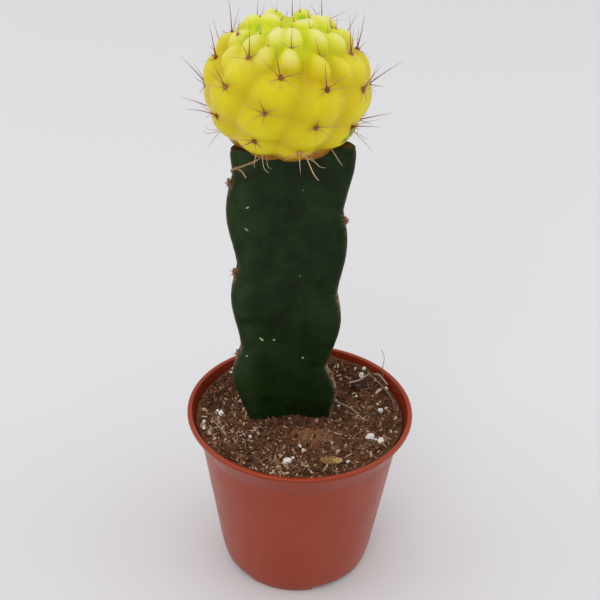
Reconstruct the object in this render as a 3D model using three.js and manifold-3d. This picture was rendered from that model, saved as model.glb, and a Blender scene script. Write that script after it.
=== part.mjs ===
// Grafted cactus in its nursery pot: a yellow tuberculate cactus head grown on a cut three-winged
// rootstock, which stands in peat mix in a tapered plastic pot.
// Millimetres, +Z up. The origin is the centre of the pot's footprint, on the surface it stands on,
// and -Y is the front. Azimuths are degrees from -Y towards +X.

import * as THREE from "three";
import { mergeVertices } from "three/addons/utils/BufferGeometryUtils.js";
import Module from "manifold-3d";

const wasm = await Module();
wasm.setup();

// ---- Driving dimensions ------------------------------------------------------------------------

const GAP = 0.35; // clearance between pieces that touch

const POT = {
  rimRadius: 42.5,
  height: 68.5,
  wall: 1.2,
  collarHeight: 10,
  collarFootRadius: 38.0,
  bodyTopRadius: 37.5,
  heelRadius: 29.8,
  heelHeight: 8.5,
  footRadius: 27.0,
  footWidth: 1.7,
  floorUnderside: 2.7,
  lipRound: 0.5,
};
const NOTCH = { count: 4, first: 33, height: 2.2, width: 17 };
const DRAIN = { radius: 3, onCircle: 20.5, centreRadius: 3.5 };

// The mix lies lowest round the stem, and higher towards the pot's wall and its back.
const SOIL = { level: 62.3, ripple: 0.35, edgeRise: 1.2, backRise: 1.5 };

const STOCK = {
  foot: new THREE.Vector3(-3.3, 11, 62),
  head: new THREE.Vector3(-4.9, 3, 180),
  buriedTo: 30,
  hollow: 2.2,
  edgeRound: 0.13,
  trim: 1.2,
};
// The three wings, from the buried end up: the height and tip radius of each node on the margin, and
// how far the margin swells above it.
const WINGS = [
  {
    azimuth: -60,
    nodes: [[30, 17, 0], [62, 18.8, 4.6], [98, 21.4, 2.9], [134, 22.3, 3.1], [171, 23.4, 2], [205, 23, 0]],
  },
  {
    azimuth: 60,
    nodes: [[30, 17, 0], [62, 17.6, 3.4], [87, 15.3, 2.9], [122, 18.8, 2.4], [156.5, 20, 2], [192, 23.5, 0]],
  },
  {
    azimuth: 180,
    nodes: [[30, 16, 0], [60, 17.5, 2.8], [84, 18.2, 2.8], [115, 19.2, 2.8], [148, 20.4, 2.8], [186, 22, 0]],
  },
];

// The head's crest surface is a spheroid, and the skin sinks from it between the tubercles.
const HEAD = {
  centre: new THREE.Vector3(-7.2, 2.5, 199.2),
  radius: 28.4,
  halfHeight: 24.8,
  valley: 1.6,
  youngValley: 2.5,
  newestValley: 1.2,
  deepest: 1.5,
  flatBottom: 177.5,
  crownDip: 1.6,
};
// Areoles stand in ten slanted ribs, each rib a step lower than the one before it. Angles are degrees
// down from the crown, and the ribs stand a little closer on the side away from the widest azimuth.
const RIB = {
  count: 10,
  firstAzimuth: -12.5,
  start: 86.5,
  step: 10,
  slant: -0.35,
  length: 25,
  highest: 36,
  lowest: 143,
  spread: 5,
  widestAzimuth: 10,
};
const GROWN_FROM = 50; // an areole lower than this has a grown tubercle below it
// The crests of the crown's young tubercles: azimuth and degrees down from the crown.
const CROWN = [
  [-62, 56], [-48, 39], [-25, 47], [2, 47], [31, 55], [53, 62], [-77, 43], [-21, 26], [8, 25],
  [49, 31], [72, 42], [81, 13], [110, 26], [100, 48], [128, 40], [150, 58], [160, 33], [-165, 52],
  [-150, 30], [-135, 58], [-123, 37], [-100, 58], [-114, 16],
];
const YOUNG_TUBERCLE = { halfWidth: 0.165, halfLength: 0.2 }; // radians
const SPINED_FROM = 44; // the spines nearer the crown are too fine to stand as pieces
const CHIN_DROP = 0.42; // how far a tubercle's crest lies below its areole, in tubercle lengths

const SPINE = {
  length: 9,
  baseRadius: 0.34,
  sides: 3,
  centralLean: 24,
  pad: { radius: 1.25, height: 0.7 },
  lift: 0.55,
};
const STOCK_SPINE = { length: 2.2, baseRadius: 0.3, pad: { radius: 1.2, height: 0.8 }, lift: 0.55 };
const STOCK_AREOLE_DROP = 3; // how far an areole sits below its node
// The wing and node of each areole that still bears spines.
const STOCK_AREOLES = [[0, 4], [0, 3], [0, 2], [1, 4], [1, 2], [2, 4], [2, 3]];

// Loose pieces on the mix: x, y and radius of each perlite grain.
const PERLITE = [
  [24, 26.5, 1.7],
  [-30, 1, 1.4],
  [26.5, -11, 1.8],
  [30.5, -13.5, 1.6],
  [-4, -25.5, 1.8],
  [31, 6, 1.3],
];
const PERLITE_SUNK = 0.6; // share of a grain's radius that lies in the mix
const PERLITE_SQUASH = 0.8;
const BARK = [
  { length: 7.5, width: 3, x: 23, y: 21, turn: 35 },
  { length: 8, width: 5, x: 12, y: -25, turn: -20 },
];
const BARK_THICKNESS = 0.8;
const BARK_LIFT = 0.65; // from the mix's surface, so the flake lies on its highest ripple
const FIBRE = {
  path: [[24, 18, 64.6], [29, 19.5, 65.1], [32, 22, 68], [31.8, 22, 72], [32.2, 22, 77], [31, 22, 81]],
  radius: 0.35,
  steps: 14,
};

// ---- Helpers -----------------------------------------------------------------------------------

const rad = THREE.MathUtils.degToRad;
const lerp = THREE.MathUtils.lerp;
const UP = new THREE.Vector3(0, 0, 1);

/** A horizontal unit vector at an azimuth from -Y towards +X. */
const heading = (azimuth) => new THREE.Vector3(Math.sin(rad(azimuth)), -Math.cos(rad(azimuth)), 0);

/** A repeatable number from 0 to 1 for a seed. */
function chance(seed) {
  const s = Math.sin(seed * 127.1 + 311.7) * 43758.5453;
  return s - Math.floor(s);
}

/** Makes a closed three.js geometry a solid that can be cut and joined. */
function solidOf(geometry) {
  const bare = geometry.clone();
  bare.deleteAttribute("normal");
  bare.deleteAttribute("uv");
  const merged = mergeVertices(bare, 1e-4);
  return new wasm.Manifold(
    new wasm.Mesh({
      numProp: 3,
      vertProperties: new Float32Array(merged.attributes.position.array),
      triVerts: new Uint32Array(merged.index.array),
    }),
  );
}

/** Gives a solid back as a three.js geometry. */
function geometryOf(solid) {
  const { numProp, vertProperties, triVerts, numVert } = solid.getMesh();
  const position = new Float32Array(numVert * 3);
  for (let i = 0; i < numVert; i++) {
    position.set(vertProperties.subarray(i * numProp, i * numProp + 3), i * 3);
  }
  const geometry = new THREE.BufferGeometry();
  geometry.setAttribute("position", new THREE.BufferAttribute(position, 3));
  geometry.setIndex(new THREE.BufferAttribute(new Uint32Array(triVerts), 1));
  geometry.computeVertexNormals();
  return geometry;
}

/** Moves every vertex of a geometry by a function of its position. */
function reshape(geometry, move) {
  const position = geometry.attributes.position;
  const point = new THREE.Vector3();
  for (let i = 0; i < position.count; i++) {
    point.fromBufferAttribute(position, i);
    move(point);
    position.setXYZ(i, point.x, point.y, point.z);
  }
  return geometry;
}

/** A profile in radius and height, turned about the Z axis. */
function turned(path, segments) {
  return new THREE.LatheGeometry(path.getPoints(3), segments).rotateX(Math.PI / 2);
}

// ---- Pot ---------------------------------------------------------------------------------------

/** The pot's outer radius on the straight stretch of its body. */
function potRadius(z) {
  const top = POT.height - POT.collarHeight;
  return lerp(POT.heelRadius, POT.bodyTopRadius, (z - POT.heelHeight) / (top - POT.heelHeight));
}

function pot() {
  const { rimRadius, height, wall, footRadius, footWidth, lipRound } = POT;
  const collarFoot = height - POT.collarHeight;
  const floorTop = POT.floorUnderside + wall;
  const profile = new THREE.Path()
    .moveTo(0, POT.floorUnderside)
    .lineTo(footRadius - footWidth, POT.floorUnderside)
    .lineTo(footRadius - footWidth, 0)
    .lineTo(footRadius, 0)
    .quadraticCurveTo(footRadius + 1.9, 3.2, POT.heelRadius, POT.heelHeight)
    .lineTo(POT.bodyTopRadius, collarFoot - 0.6)
    .lineTo(POT.collarFootRadius, collarFoot)
    .lineTo(rimRadius - lipRound * 0.5, height - 1.6)
    .lineTo(rimRadius, height - 1.2)
    .quadraticCurveTo(rimRadius, height, rimRadius - lipRound, height)
    .lineTo(rimRadius - wall - 0.4, height)
    .lineTo(POT.collarFootRadius - wall, collarFoot + 0.4)
    .lineTo(POT.bodyTopRadius - wall, collarFoot - 0.6)
    .lineTo(POT.heelRadius - wall, POT.heelHeight)
    .quadraticCurveTo(footRadius - 0.6, floorTop + 0.6, footRadius - 2.2, floorTop)
    .lineTo(0, floorTop);
  let body = solidOf(turned(profile, 56));
  for (let i = 0; i < NOTCH.count; i++) {
    const azimuth = NOTCH.first + (i * 360) / NOTCH.count;
    const out = heading(azimuth).multiplyScalar(footRadius);
    const notch = new THREE.BoxGeometry(NOTCH.width, 8, NOTCH.height * 2);
    notch.rotateZ(rad(azimuth)).translate(out.x, out.y, 0);
    body = body.subtract(solidOf(notch));
    body = body.subtract(drainHole(heading(azimuth).multiplyScalar(DRAIN.onCircle), DRAIN.radius));
  }
  return geometryOf(body.subtract(drainHole(new THREE.Vector3(), DRAIN.centreRadius)));
}

/** The plug that a drain hole takes out of the pot's floor. */
function drainHole(at, radius) {
  const hole = new THREE.CylinderGeometry(radius, radius, POT.wall * 4, 16).rotateX(Math.PI / 2);
  return solidOf(hole.translate(at.x, at.y, POT.floorUnderside + POT.wall / 2));
}

// ---- Rootstock ---------------------------------------------------------------------------------

/** The angle between a wing and an azimuth, from 0 to 180. */
function turnFrom(wing, azimuth) {
  return Math.abs(THREE.MathUtils.euclideanModulo(azimuth - wing.azimuth + 180, 360) - 180);
}

/** A wing's tip radius at a height: the margin swells most a little below each node. */
function wingRadius({ nodes }, z) {
  const upper = Math.max(1, nodes.findIndex(([height]) => height > z));
  const [z0, r0, swell] = nodes[upper - 1];
  const [z1, r1] = nodes[upper];
  const t = THREE.MathUtils.clamp((z - z0) / (z1 - z0), 0, 1);
  return lerp(r0, r1, t) + swell * Math.sin(Math.PI * t ** 1.3) ** 1.1;
}

/** The stem's centre line at a height. */
function stockAxis(z) {
  const t = Math.max(0, (z - STOCK.foot.z) / (STOCK.head.z - STOCK.foot.z));
  return STOCK.foot.clone().lerp(STOCK.head, t).setZ(z);
}

/** Distance from the stem's centre line to its skin, at an azimuth and height. */
function stockRadius(azimuth, z) {
  const wing = WINGS.reduce((a, b) => (turnFrom(a, azimuth) <= turnFrom(b, azimuth) ? a : b));
  const fromTip = Math.min(60, turnFrom(wing, azimuth));
  const core = WINGS.reduce((sum, w) => sum + w.nodes[3][1], 0) / WINGS.length / 2 - STOCK.hollow;
  const rounded = Math.hypot(rad(fromTip), STOCK.edgeRound) - STOCK.edgeRound;
  const flank = 1 / Math.cos(rad(60) - rounded) - 1;
  const trim = STOCK.trim * THREE.MathUtils.smoothstep(z, STOCK.head.z - 2.4, STOCK.head.z);
  return core + (wingRadius(wing, z) - trim - core) * flank ** 1.12;
}

/** The stem as a closed solid, grown outwards and upwards by an allowance. */
function stockSolid(allowance = 0) {
  const top = STOCK.head.z + allowance;
  const stem = new THREE.CylinderGeometry(1, 1, 1, 36, 30).rotateX(Math.PI / 2);
  reshape(stem, (point) => {
    const t = point.z + 0.5;
    const z = lerp(STOCK.buriedTo - allowance, top, t ** 0.9);
    const share = Math.hypot(point.x, point.y);
    const even = THREE.MathUtils.radToDeg(Math.atan2(point.x, -point.y));
    const azimuth = even + 9 * Math.sin(rad(3 * even)); // gathers the facets at the wing tips
    const blunt = 1 - 0.3 * THREE.MathUtils.smoothstep(STOCK.buriedTo + 10 - z, 0, 10);
    const radius = share * (stockRadius(azimuth, Math.min(z, STOCK.head.z)) * blunt + allowance);
    point.copy(stockAxis(z)).addScaledVector(heading(azimuth), radius);
  });
  return solidOf(stem);
}

// ---- Cactus head -------------------------------------------------------------------------------

/** Every areole of the head's ribs: its azimuth and polar angle. */
function areoles() {
  const list = [];
  for (let rib = 0; rib < RIB.count; rib++) {
    const offset = THREE.MathUtils.euclideanModulo(RIB.start + RIB.step * rib - RIB.highest, RIB.length);
    for (let polar = RIB.highest + offset; polar < RIB.lowest; polar += RIB.length) {
      const even = RIB.firstAzimuth + (360 / RIB.count) * rib + RIB.slant * (polar - RIB.start);
      const azimuth = even + RIB.spread * Math.sin(rad(even - RIB.widestAzimuth));
      list.push({ seed: list.length, azimuth, polar });
    }
  }
  return list;
}

/** Unit direction from the head's centre at an azimuth and polar angle. */
function direction(azimuth, polar) {
  return heading(azimuth).multiplyScalar(Math.sin(rad(polar))).setZ(Math.cos(rad(polar)));
}

/** A tubercle's crest, its two axes and its half width and half length. */
function tubercle(azimuth, polar, halfWidth, halfLength) {
  return {
    crest: direction(azimuth, polar),
    east: heading(azimuth + 90),
    south: direction(azimuth, polar + 90),
    halfWidth,
    halfLength,
  };
}

const AREOLES = areoles();
const GROWN = AREOLES.filter(({ polar }) => polar > GROWN_FROM).map(({ azimuth, polar }) => {
  const drop = CHIN_DROP * RIB.length;
  const halfWidth = Math.sin(rad(180 / RIB.count)) * Math.sin(rad(Math.min(polar + drop, 110)));
  return tubercle(azimuth + RIB.slant * drop, polar + drop, halfWidth, Math.sin(rad(RIB.length / 2)));
});
const YOUNG = CROWN.map(([azimuth, polar]) => {
  return tubercle(azimuth, polar, YOUNG_TUBERCLE.halfWidth, YOUNG_TUBERCLE.halfLength);
});
const TUBERCLES = [...GROWN, ...YOUNG];

/** How far the skin sinks between the tubercles in a direction: 0 on a crest, 1 between two. */
function valleyDepth(outward) {
  const softness = 5;
  let sum = Math.exp(-softness * HEAD.deepest);
  for (const { crest, east, south, halfWidth, halfLength } of TUBERCLES) {
    if (outward.dot(crest) < 0.6) continue;
    const across = outward.dot(east) / halfWidth;
    const along = outward.dot(south) / halfLength;
    sum += Math.exp(-softness * (across * across + along * along));
  }
  return Math.max(0, -Math.log(sum) / softness);
}

/** The point on the head's skin in a direction from its centre. */
function headPoint(outward) {
  const { radius, halfHeight } = HEAD;
  const crests = 1 / Math.hypot(outward.x / radius, outward.y / radius, outward.z / halfHeight);
  const young = THREE.MathUtils.smoothstep(outward.z, 0.2, 0.7);
  const newest = THREE.MathUtils.smoothstep(outward.z, 0.78, 0.92);
  const valley = lerp(lerp(HEAD.valley, HEAD.youngValley, young), HEAD.newestValley, newest);
  const sink = valley * valleyDepth(outward);
  const dip = HEAD.crownDip * THREE.MathUtils.smoothstep(outward.z, 0.93, 1);
  return outward.clone().multiplyScalar(crests - sink - dip).add(HEAD.centre);
}

function head(stockForm) {
  const ball = new THREE.IcosahedronGeometry(1, 11);
  reshape(ball, (point) => point.copy(headPoint(point.clone().normalize())));
  const below = new THREE.BoxGeometry(100, 100, 40).translate(0, 0, HEAD.flatBottom - 20);
  return geometryOf(solidOf(ball).subtract(stockForm).subtract(solidOf(below)));
}

// ---- Areoles and spines ------------------------------------------------------------------------

/** An areole pad with spines standing in it, on the origin and facing +Z. */
function spineCluster(pad, spines) {
  const cushion = new THREE.SphereGeometry(pad.radius, 6, 3);
  cushion.rotateX(Math.PI / 2).scale(1, 1, pad.height / pad.radius);
  const cluster = spines.reduce((joined, { lean, bearing, length, radius }) => {
    const spine = new THREE.ConeGeometry(radius, length, SPINE.sides).rotateX(Math.PI / 2);
    spine.translate(0, 0, length / 2).rotateX(-rad(lean));
    spine.translate(0, lean > SPINE.centralLean ? pad.radius / 2 : 0, 0.1).rotateZ(rad(bearing));
    return joined.add(solidOf(spine));
  }, solidOf(cushion));
  return geometryOf(cluster);
}

/** Whether an areole's spines stand clear of the rootstock's wings. */
function clearOfStock({ azimuth, polar }) {
  return polar < 118 || WINGS.every((wing) => turnFrom(wing, azimuth) > 30);
}

/** One strong central spine and four radials, set by the areole's own seed. */
function headSpines(seed) {
  const { length, baseRadius, centralLean } = SPINE;
  const bearing = 20 * (chance(seed + 7) - 0.5);
  const spines = [{ lean: centralLean, bearing, length, radius: baseRadius }];
  for (let i = 0; i < 4; i++) {
    spines.push({
      lean: 56 + 6 * chance(seed * 5 + i),
      bearing: -117 + 78 * i + 18 * (chance(seed * 7 + i) - 0.5),
      length: length * (0.66 + 0.2 * chance(seed * 3 + i)),
      radius: baseRadius * 0.8,
    });
  }
  return spines;
}

/** Three short stiff spines, as the wings' areoles bear. */
function stockSpines() {
  const { length, baseRadius } = STOCK_SPINE;
  return [-50, 10, 60].map((bearing, i) => ({ lean: 35 + 10 * i, bearing, length, radius: baseRadius }));
}

/** Where a head areole's cluster stands: just off the skin, facing out, its Y axis to the crown. */
function areolePlace({ azimuth, polar }) {
  const skin = headPoint(direction(azimuth, polar));
  const axes = new THREE.Vector3(HEAD.radius, HEAD.radius, HEAD.halfHeight);
  const normal = skin.clone().sub(HEAD.centre).divide(axes).divide(axes).normalize();
  const north = direction(azimuth, polar - 90).projectOnPlane(normal).normalize();
  const east = new THREE.Vector3().crossVectors(north, normal);
  const turn = new THREE.Matrix4().makeBasis(east, north, normal);
  return {
    position: skin.addScaledVector(normal, SPINE.pad.height + SPINE.lift),
    quaternion: new THREE.Quaternion().setFromRotationMatrix(turn),
  };
}

/** Where a wing areole's cluster stands: just off the margin below a node, facing out. */
function stockAreolePlace(wing, node) {
  const out = heading(wing.azimuth);
  const z = wing.nodes[node][0] - STOCK_AREOLE_DROP;
  const reach = wingRadius(wing, z) + STOCK_SPINE.pad.height + STOCK_SPINE.lift;
  return {
    position: stockAxis(z).addScaledVector(out, reach),
    quaternion: new THREE.Quaternion().setFromUnitVectors(UP, out),
  };
}

// ---- Potting mix and what lies on it -----------------------------------------------------------

/** The inner radius of the pot's collar at a height. */
function collarInside(z) {
  const foot = POT.height - POT.collarHeight + 0.4;
  const slope = (POT.rimRadius - 0.4 - POT.collarFootRadius) / (POT.height - foot);
  return POT.collarFootRadius - POT.wall + slope * (z - foot);
}

/** The mix's surface height: rippled, and rising to the pot's wall and its back. */
function soilTop(x, y) {
  const ripple = SOIL.ripple * (Math.sin(x / 5.1 + 1) * Math.cos(y / 6.3) + Math.sin((x + y) / 8.7));
  const edge = SOIL.edgeRise * THREE.MathUtils.smoothstep(Math.hypot(x, y), 18, 36);
  const back = SOIL.backRise * THREE.MathUtils.smoothstep(y, 4, 36);
  return SOIL.level + ripple + edge + back;
}

function pottingMix(stockForm, grains) {
  const side = POT.wall + GAP + 0.1;
  const floor = POT.floorUnderside + POT.wall + GAP;
  const shoulder = POT.height - POT.collarHeight - 1;
  const edge = potRadius(shoulder) - side;
  const profile = new THREE.Path()
    .moveTo(0, floor)
    .lineTo(POT.footRadius - 3.1, floor)
    .lineTo(POT.heelRadius - side, POT.heelHeight + 0.4)
    .lineTo(edge, shoulder);
  const rings = 8;
  const brim = collarInside(SOIL.level) - GAP;
  for (let i = 0; i <= rings; i++) profile.lineTo(brim * (1 - i / rings), SOIL.level);
  const block = reshape(turned(profile, 40), (point) => {
    if (point.z < shoulder + 0.1) return;
    point.z = soilTop(point.x, point.y);
    const fit = (collarInside(point.z) - GAP) / brim;
    point.x *= fit;
    point.y *= fit;
  });
  const cut = solidOf(block).subtract(stockForm);
  return geometryOf(grains.reduce((mix, grain) => mix.subtract(grain), cut));
}

/** A lump of expanded perlite, part sunk in the mix. */
function grainGeometry([x, y, radius], index, allowance = 0) {
  const lump = reshape(new THREE.IcosahedronGeometry(1, 1), (point) => {
    const wave = Math.sin(3.1 * point.x + 2 * index) * Math.cos(4.3 * point.y + 2.7 * point.z);
    const knobble = 1 + 0.16 * wave;
    point.multiplyScalar(radius * knobble + allowance);
    point.z *= PERLITE_SQUASH;
  });
  return lump.translate(x, y, soilTop(x, y) + radius * (PERLITE_SQUASH - PERLITE_SUNK));
}

/** A hair root that lies on the mix and rises past the rim. */
function rootFibre() {
  const { path, radius, steps } = FIBRE;
  const section = new THREE.Shape().absarc(0, 0, radius, 0, 2 * Math.PI);
  return new THREE.ExtrudeGeometry(section, {
    steps,
    curveSegments: 6,
    bevelEnabled: false,
    extrudePath: new THREE.CatmullRomCurve3(path.map((point) => new THREE.Vector3(...point))),
  });
}

/** A six-sided flake of bark. */
function barkChip(length, width) {
  const outline = new THREE.Shape()
    .moveTo(-length / 2, -width / 4)
    .lineTo(-length / 5, -width / 2)
    .lineTo(length / 2.4, -width / 3)
    .lineTo(length / 2, width / 5)
    .lineTo(length / 7, width / 2)
    .lineTo(-length / 2.6, width / 3)
    .closePath();
  return new THREE.ExtrudeGeometry(outline, { depth: BARK_THICKNESS, bevelEnabled: false });
}

// ---- Materials and assembly --------------------------------------------------------------------

const finish = (color, roughness) => new THREE.MeshStandardMaterial({ color, roughness, metalness: 0 });
const terracottaPlastic = () => finish(0x96432f, 0.42);
const peat = () => finish(0x4a3022, 0.95);
const greenSkin = () => finish(0x1f3418, 0.5);
const yellowSkin = () => finish(0xd2c326, 0.4);
const spineHorn = () => finish(0x7a4428, 0.6);
const corkBrown = () => finish(0x8a6444, 0.85);
const whitePerlite = () => finish(0xe9e4da, 0.9);
const bark = () => finish(0x3b2418, 0.9);

const part = new THREE.Group();

/** Adds a named piece, at its place in the part. */
function place(name, geometry, material, { position, quaternion } = {}) {
  const mesh = new THREE.Mesh(geometry, material);
  mesh.name = name;
  if (position) mesh.position.copy(position);
  if (quaternion) mesh.quaternion.copy(quaternion);
  part.add(mesh);
}

const twoDigits = (number) => String(number).padStart(2, "0");

const stockForm = stockSolid(GAP);
const grainForms = PERLITE.map((grain, i) => solidOf(grainGeometry(grain, i, GAP)));

place("pot", pot(), terracottaPlastic());
place("potting_mix", pottingMix(stockForm, grainForms), peat());
place("rootstock", geometryOf(stockSolid()), greenSkin());
place("cactus_head", head(stockForm), yellowSkin());

AREOLES.filter(({ polar }) => polar >= SPINED_FROM)
  .filter(clearOfStock)
  .forEach((areole, i) => {
    const cluster = spineCluster(SPINE.pad, headSpines(areole.seed));
    place(`head_spines_${twoDigits(i + 1)}`, cluster, spineHorn(), areolePlace(areole));
  });

STOCK_AREOLES.forEach(([wing, node], i) => {
  const cluster = spineCluster(STOCK_SPINE.pad, stockSpines());
  place(`rootstock_spines_${i + 1}`, cluster, corkBrown(), stockAreolePlace(WINGS[wing], node));
});

PERLITE.forEach((grain, i) => place(`perlite_${i + 1}`, grainGeometry(grain, i), whitePerlite()));

BARK.forEach(({ length, width, x, y, turn }, i) => {
  const position = new THREE.Vector3(x, y, soilTop(x, y) + BARK_LIFT);
  const quaternion = new THREE.Quaternion().setFromAxisAngle(UP, rad(turn));
  place(`bark_chip_${i + 1}`, barkChip(length, width), bark(), { position, quaternion });
});

place("root_fibre", rootFibre(), corkBrown());

export default part;
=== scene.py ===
"""Looks of a grafted cactus in its nursery pot.

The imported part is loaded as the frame, and each visible piece is modelled over the CAD node it stands
for. Lengths are in metres and angles in degrees. Azimuths run from -Y, the front, towards +X, and
polar angles run down from the head's crown.
"""

import logging
import math
from dataclasses import dataclass, field
from enum import Enum
from typing import Iterable, Sequence

import bmesh
import bpy
import numpy as np
from mathutils import Matrix, Vector, noise


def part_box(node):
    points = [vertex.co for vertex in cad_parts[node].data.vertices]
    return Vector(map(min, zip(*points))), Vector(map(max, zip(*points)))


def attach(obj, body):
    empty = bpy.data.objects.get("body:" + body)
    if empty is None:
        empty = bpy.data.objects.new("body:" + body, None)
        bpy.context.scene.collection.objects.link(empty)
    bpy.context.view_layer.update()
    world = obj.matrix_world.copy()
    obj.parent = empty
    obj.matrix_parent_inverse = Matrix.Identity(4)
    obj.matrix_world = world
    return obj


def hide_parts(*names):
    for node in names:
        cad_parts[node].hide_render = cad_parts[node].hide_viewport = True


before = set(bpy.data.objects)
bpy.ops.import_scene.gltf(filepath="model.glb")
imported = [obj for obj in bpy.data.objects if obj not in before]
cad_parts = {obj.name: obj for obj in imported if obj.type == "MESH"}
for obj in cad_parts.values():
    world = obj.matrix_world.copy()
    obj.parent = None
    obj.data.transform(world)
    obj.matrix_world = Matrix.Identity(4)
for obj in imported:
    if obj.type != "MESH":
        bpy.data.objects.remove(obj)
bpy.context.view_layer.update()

LOG = logging.getLogger("potted_cactus")
MM = 0.001
BODY = "root"
UP = np.array([0.0, 0.0, 1.0])
SKEW = np.array([0.31, 0.22, 0.93])  # a direction that no spine or root follows
Colour = tuple[float, float, float]
Node = bpy.types.ShaderNode
Socket = bpy.types.NodeSocket


# ---- Angles and smooth steps ---------------------------------------------------------------------


def heading(azimuth: np.ndarray | float) -> np.ndarray:
    """Horizontal unit vectors at azimuths from -Y towards +X."""
    turn = np.radians(azimuth)
    return np.stack([np.sin(turn), -np.cos(turn), np.zeros_like(turn)], axis=-1)


def azimuths(points: np.ndarray) -> np.ndarray:
    """The azimuths of points, from -Y towards +X."""
    return np.degrees(np.arctan2(points[:, 0], -points[:, 1]))


def turn_between(first: np.ndarray | float, second: float) -> np.ndarray | float:
    """The angle between azimuths and one other, the short way round."""
    return abs((first - second + 180.0) % 360.0 - 180.0)


def direction(azimuth: np.ndarray | float, polar: np.ndarray | float) -> np.ndarray:
    """Unit vectors at azimuths and at angles down from +Z."""
    down = np.radians(polar)
    flat = heading(azimuth) * np.sin(down)[..., None]
    return flat + UP * np.cos(down)[..., None]


def smoothstep(value: np.ndarray | float, low: float, high: float) -> np.ndarray:
    """A smooth rise from 0 at low to 1 at high."""
    t = np.clip((np.asarray(value, dtype=float) - low) / (high - low), 0.0, 1.0)
    return t * t * (3.0 - 2.0 * t)


def unit(vectors: np.ndarray) -> np.ndarray:
    """Vectors at length one."""
    return vectors / np.linalg.norm(vectors, axis=-1, keepdims=True)


def drift(points: np.ndarray, size: float, seed: float = 0.0) -> np.ndarray:
    """Smooth noise from about -1 to 1.

    Args:
        points: positions, one row each.
        size: the size of the noise's lumps.
        seed: shifts the noise, so that two calls differ.

    Returns:
        One value for each point.
    """
    shift = Vector((seed * 7.31, seed * 3.17, seed * 5.71))
    return np.array([noise.noise(Vector(point) / size + shift) for point in points])


# ---- Meshes --------------------------------------------------------------------------------------


def coordinates(bm: bmesh.types.BMesh) -> np.ndarray:
    """The positions of a bmesh's vertices, one row each."""
    return np.array([vertex.co[:] for vertex in bm.verts])


def move_to(bm: bmesh.types.BMesh, points: np.ndarray) -> None:
    """Moves every vertex of a bmesh to its row of points."""
    for vertex, point in zip(bm.verts, points):
        vertex.co = point


def paint(bm: bmesh.types.BMesh, name: str, values: np.ndarray | float) -> None:
    """Stores one number for each vertex as an attribute that a finish can read."""
    layer = bm.verts.layers.float.get(name) or bm.verts.layers.float.new(name)
    numbers = np.broadcast_to(values, len(bm.verts))
    for vertex, number in zip(bm.verts, numbers):
        vertex[layer] = float(number)


def lump(detail: int) -> bmesh.types.BMesh:
    """A ball of radius one, from an icosphere of that many subdivisions."""
    bm = bmesh.new()
    bmesh.ops.create_icosphere(bm, subdivisions=detail, radius=1.0)
    return bm


def rod(sides: int, cuts: int, tip: float) -> bmesh.types.BMesh:
    """A closed rod of length one that stands on the origin along +Z.

    Args:
        sides: the number of its sides.
        cuts: the number of rings between its ends.
        tip: the radius at its upper end, where the lower end's is one.

    Returns:
        The rod.
    """
    bm = bmesh.new()
    bmesh.ops.create_cone(bm, cap_ends=True, segments=sides, radius1=1.0, radius2=tip, depth=1.0)
    bmesh.ops.translate(bm, verts=bm.verts, vec=(0.0, 0.0, 0.5))
    if cuts:
        long_edges = [edge for edge in bm.edges if abs(edge.verts[0].co.z - edge.verts[1].co.z) > 0.5]
        bmesh.ops.subdivide_edges(bm, edges=long_edges, cuts=cuts, use_grid_fill=True)
    return bm


def turned(profile: Sequence[tuple[float, float]], steps: int, closed: bool) -> bmesh.types.BMesh:
    """A profile of radius and height, spun once round Z.

    Args:
        profile: the points of the profile, in order.
        steps: the number of steps in the turn.
        closed: whether the last point joins the first, which leaves a hole along the axis.

    Returns:
        The turned shape, with its doubles merged and its faces pointing out.
    """
    bm = bmesh.new()
    corners = [bm.verts.new((radius, 0.0, height)) for radius, height in profile]
    pairs = list(zip(corners, corners[1:])) + ([(corners[-1], corners[0])] if closed else [])
    edges = [bm.edges.new(pair) for pair in pairs]
    bmesh.ops.spin(
        bm,
        geom=corners + edges,
        cent=(0.0, 0.0, 0.0),
        axis=(0.0, 0.0, 1.0),
        angle=math.tau,
        steps=steps,
        use_merge=True,
    )
    bmesh.ops.remove_doubles(bm, verts=bm.verts, dist=0.005 * MM)
    bmesh.ops.recalc_face_normals(bm, faces=bm.faces)
    return bm


def filleted(corners: Sequence[tuple[float, float, float]], steps: int = 4) -> list[tuple[float, float]]:
    """A profile with its corners rounded.

    Args:
        corners: radius, height and fillet length of each corner.
        steps: the number of steps round a fillet.

    Returns:
        The points of the rounded profile.
    """
    points: list[tuple[float, float]] = []
    for index, (radius, height, fillet) in enumerate(corners):
        here = np.array([radius, height])
        if fillet == 0.0 or index in (0, len(corners) - 1):
            points.append((radius, height))
            continue
        before = np.array(corners[index - 1][:2]) - here
        after = np.array(corners[index + 1][:2]) - here
        start = here + before / np.linalg.norm(before) * min(fillet, np.linalg.norm(before) * 0.45)
        end = here + after / np.linalg.norm(after) * min(fillet, np.linalg.norm(after) * 0.45)
        for t in np.linspace(0.0, 1.0, steps + 1):
            bend = start * (1 - t) ** 2 + here * 2 * t * (1 - t) + end * t**2
            points.append((float(bend[0]), float(bend[1])))
    return points


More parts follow.
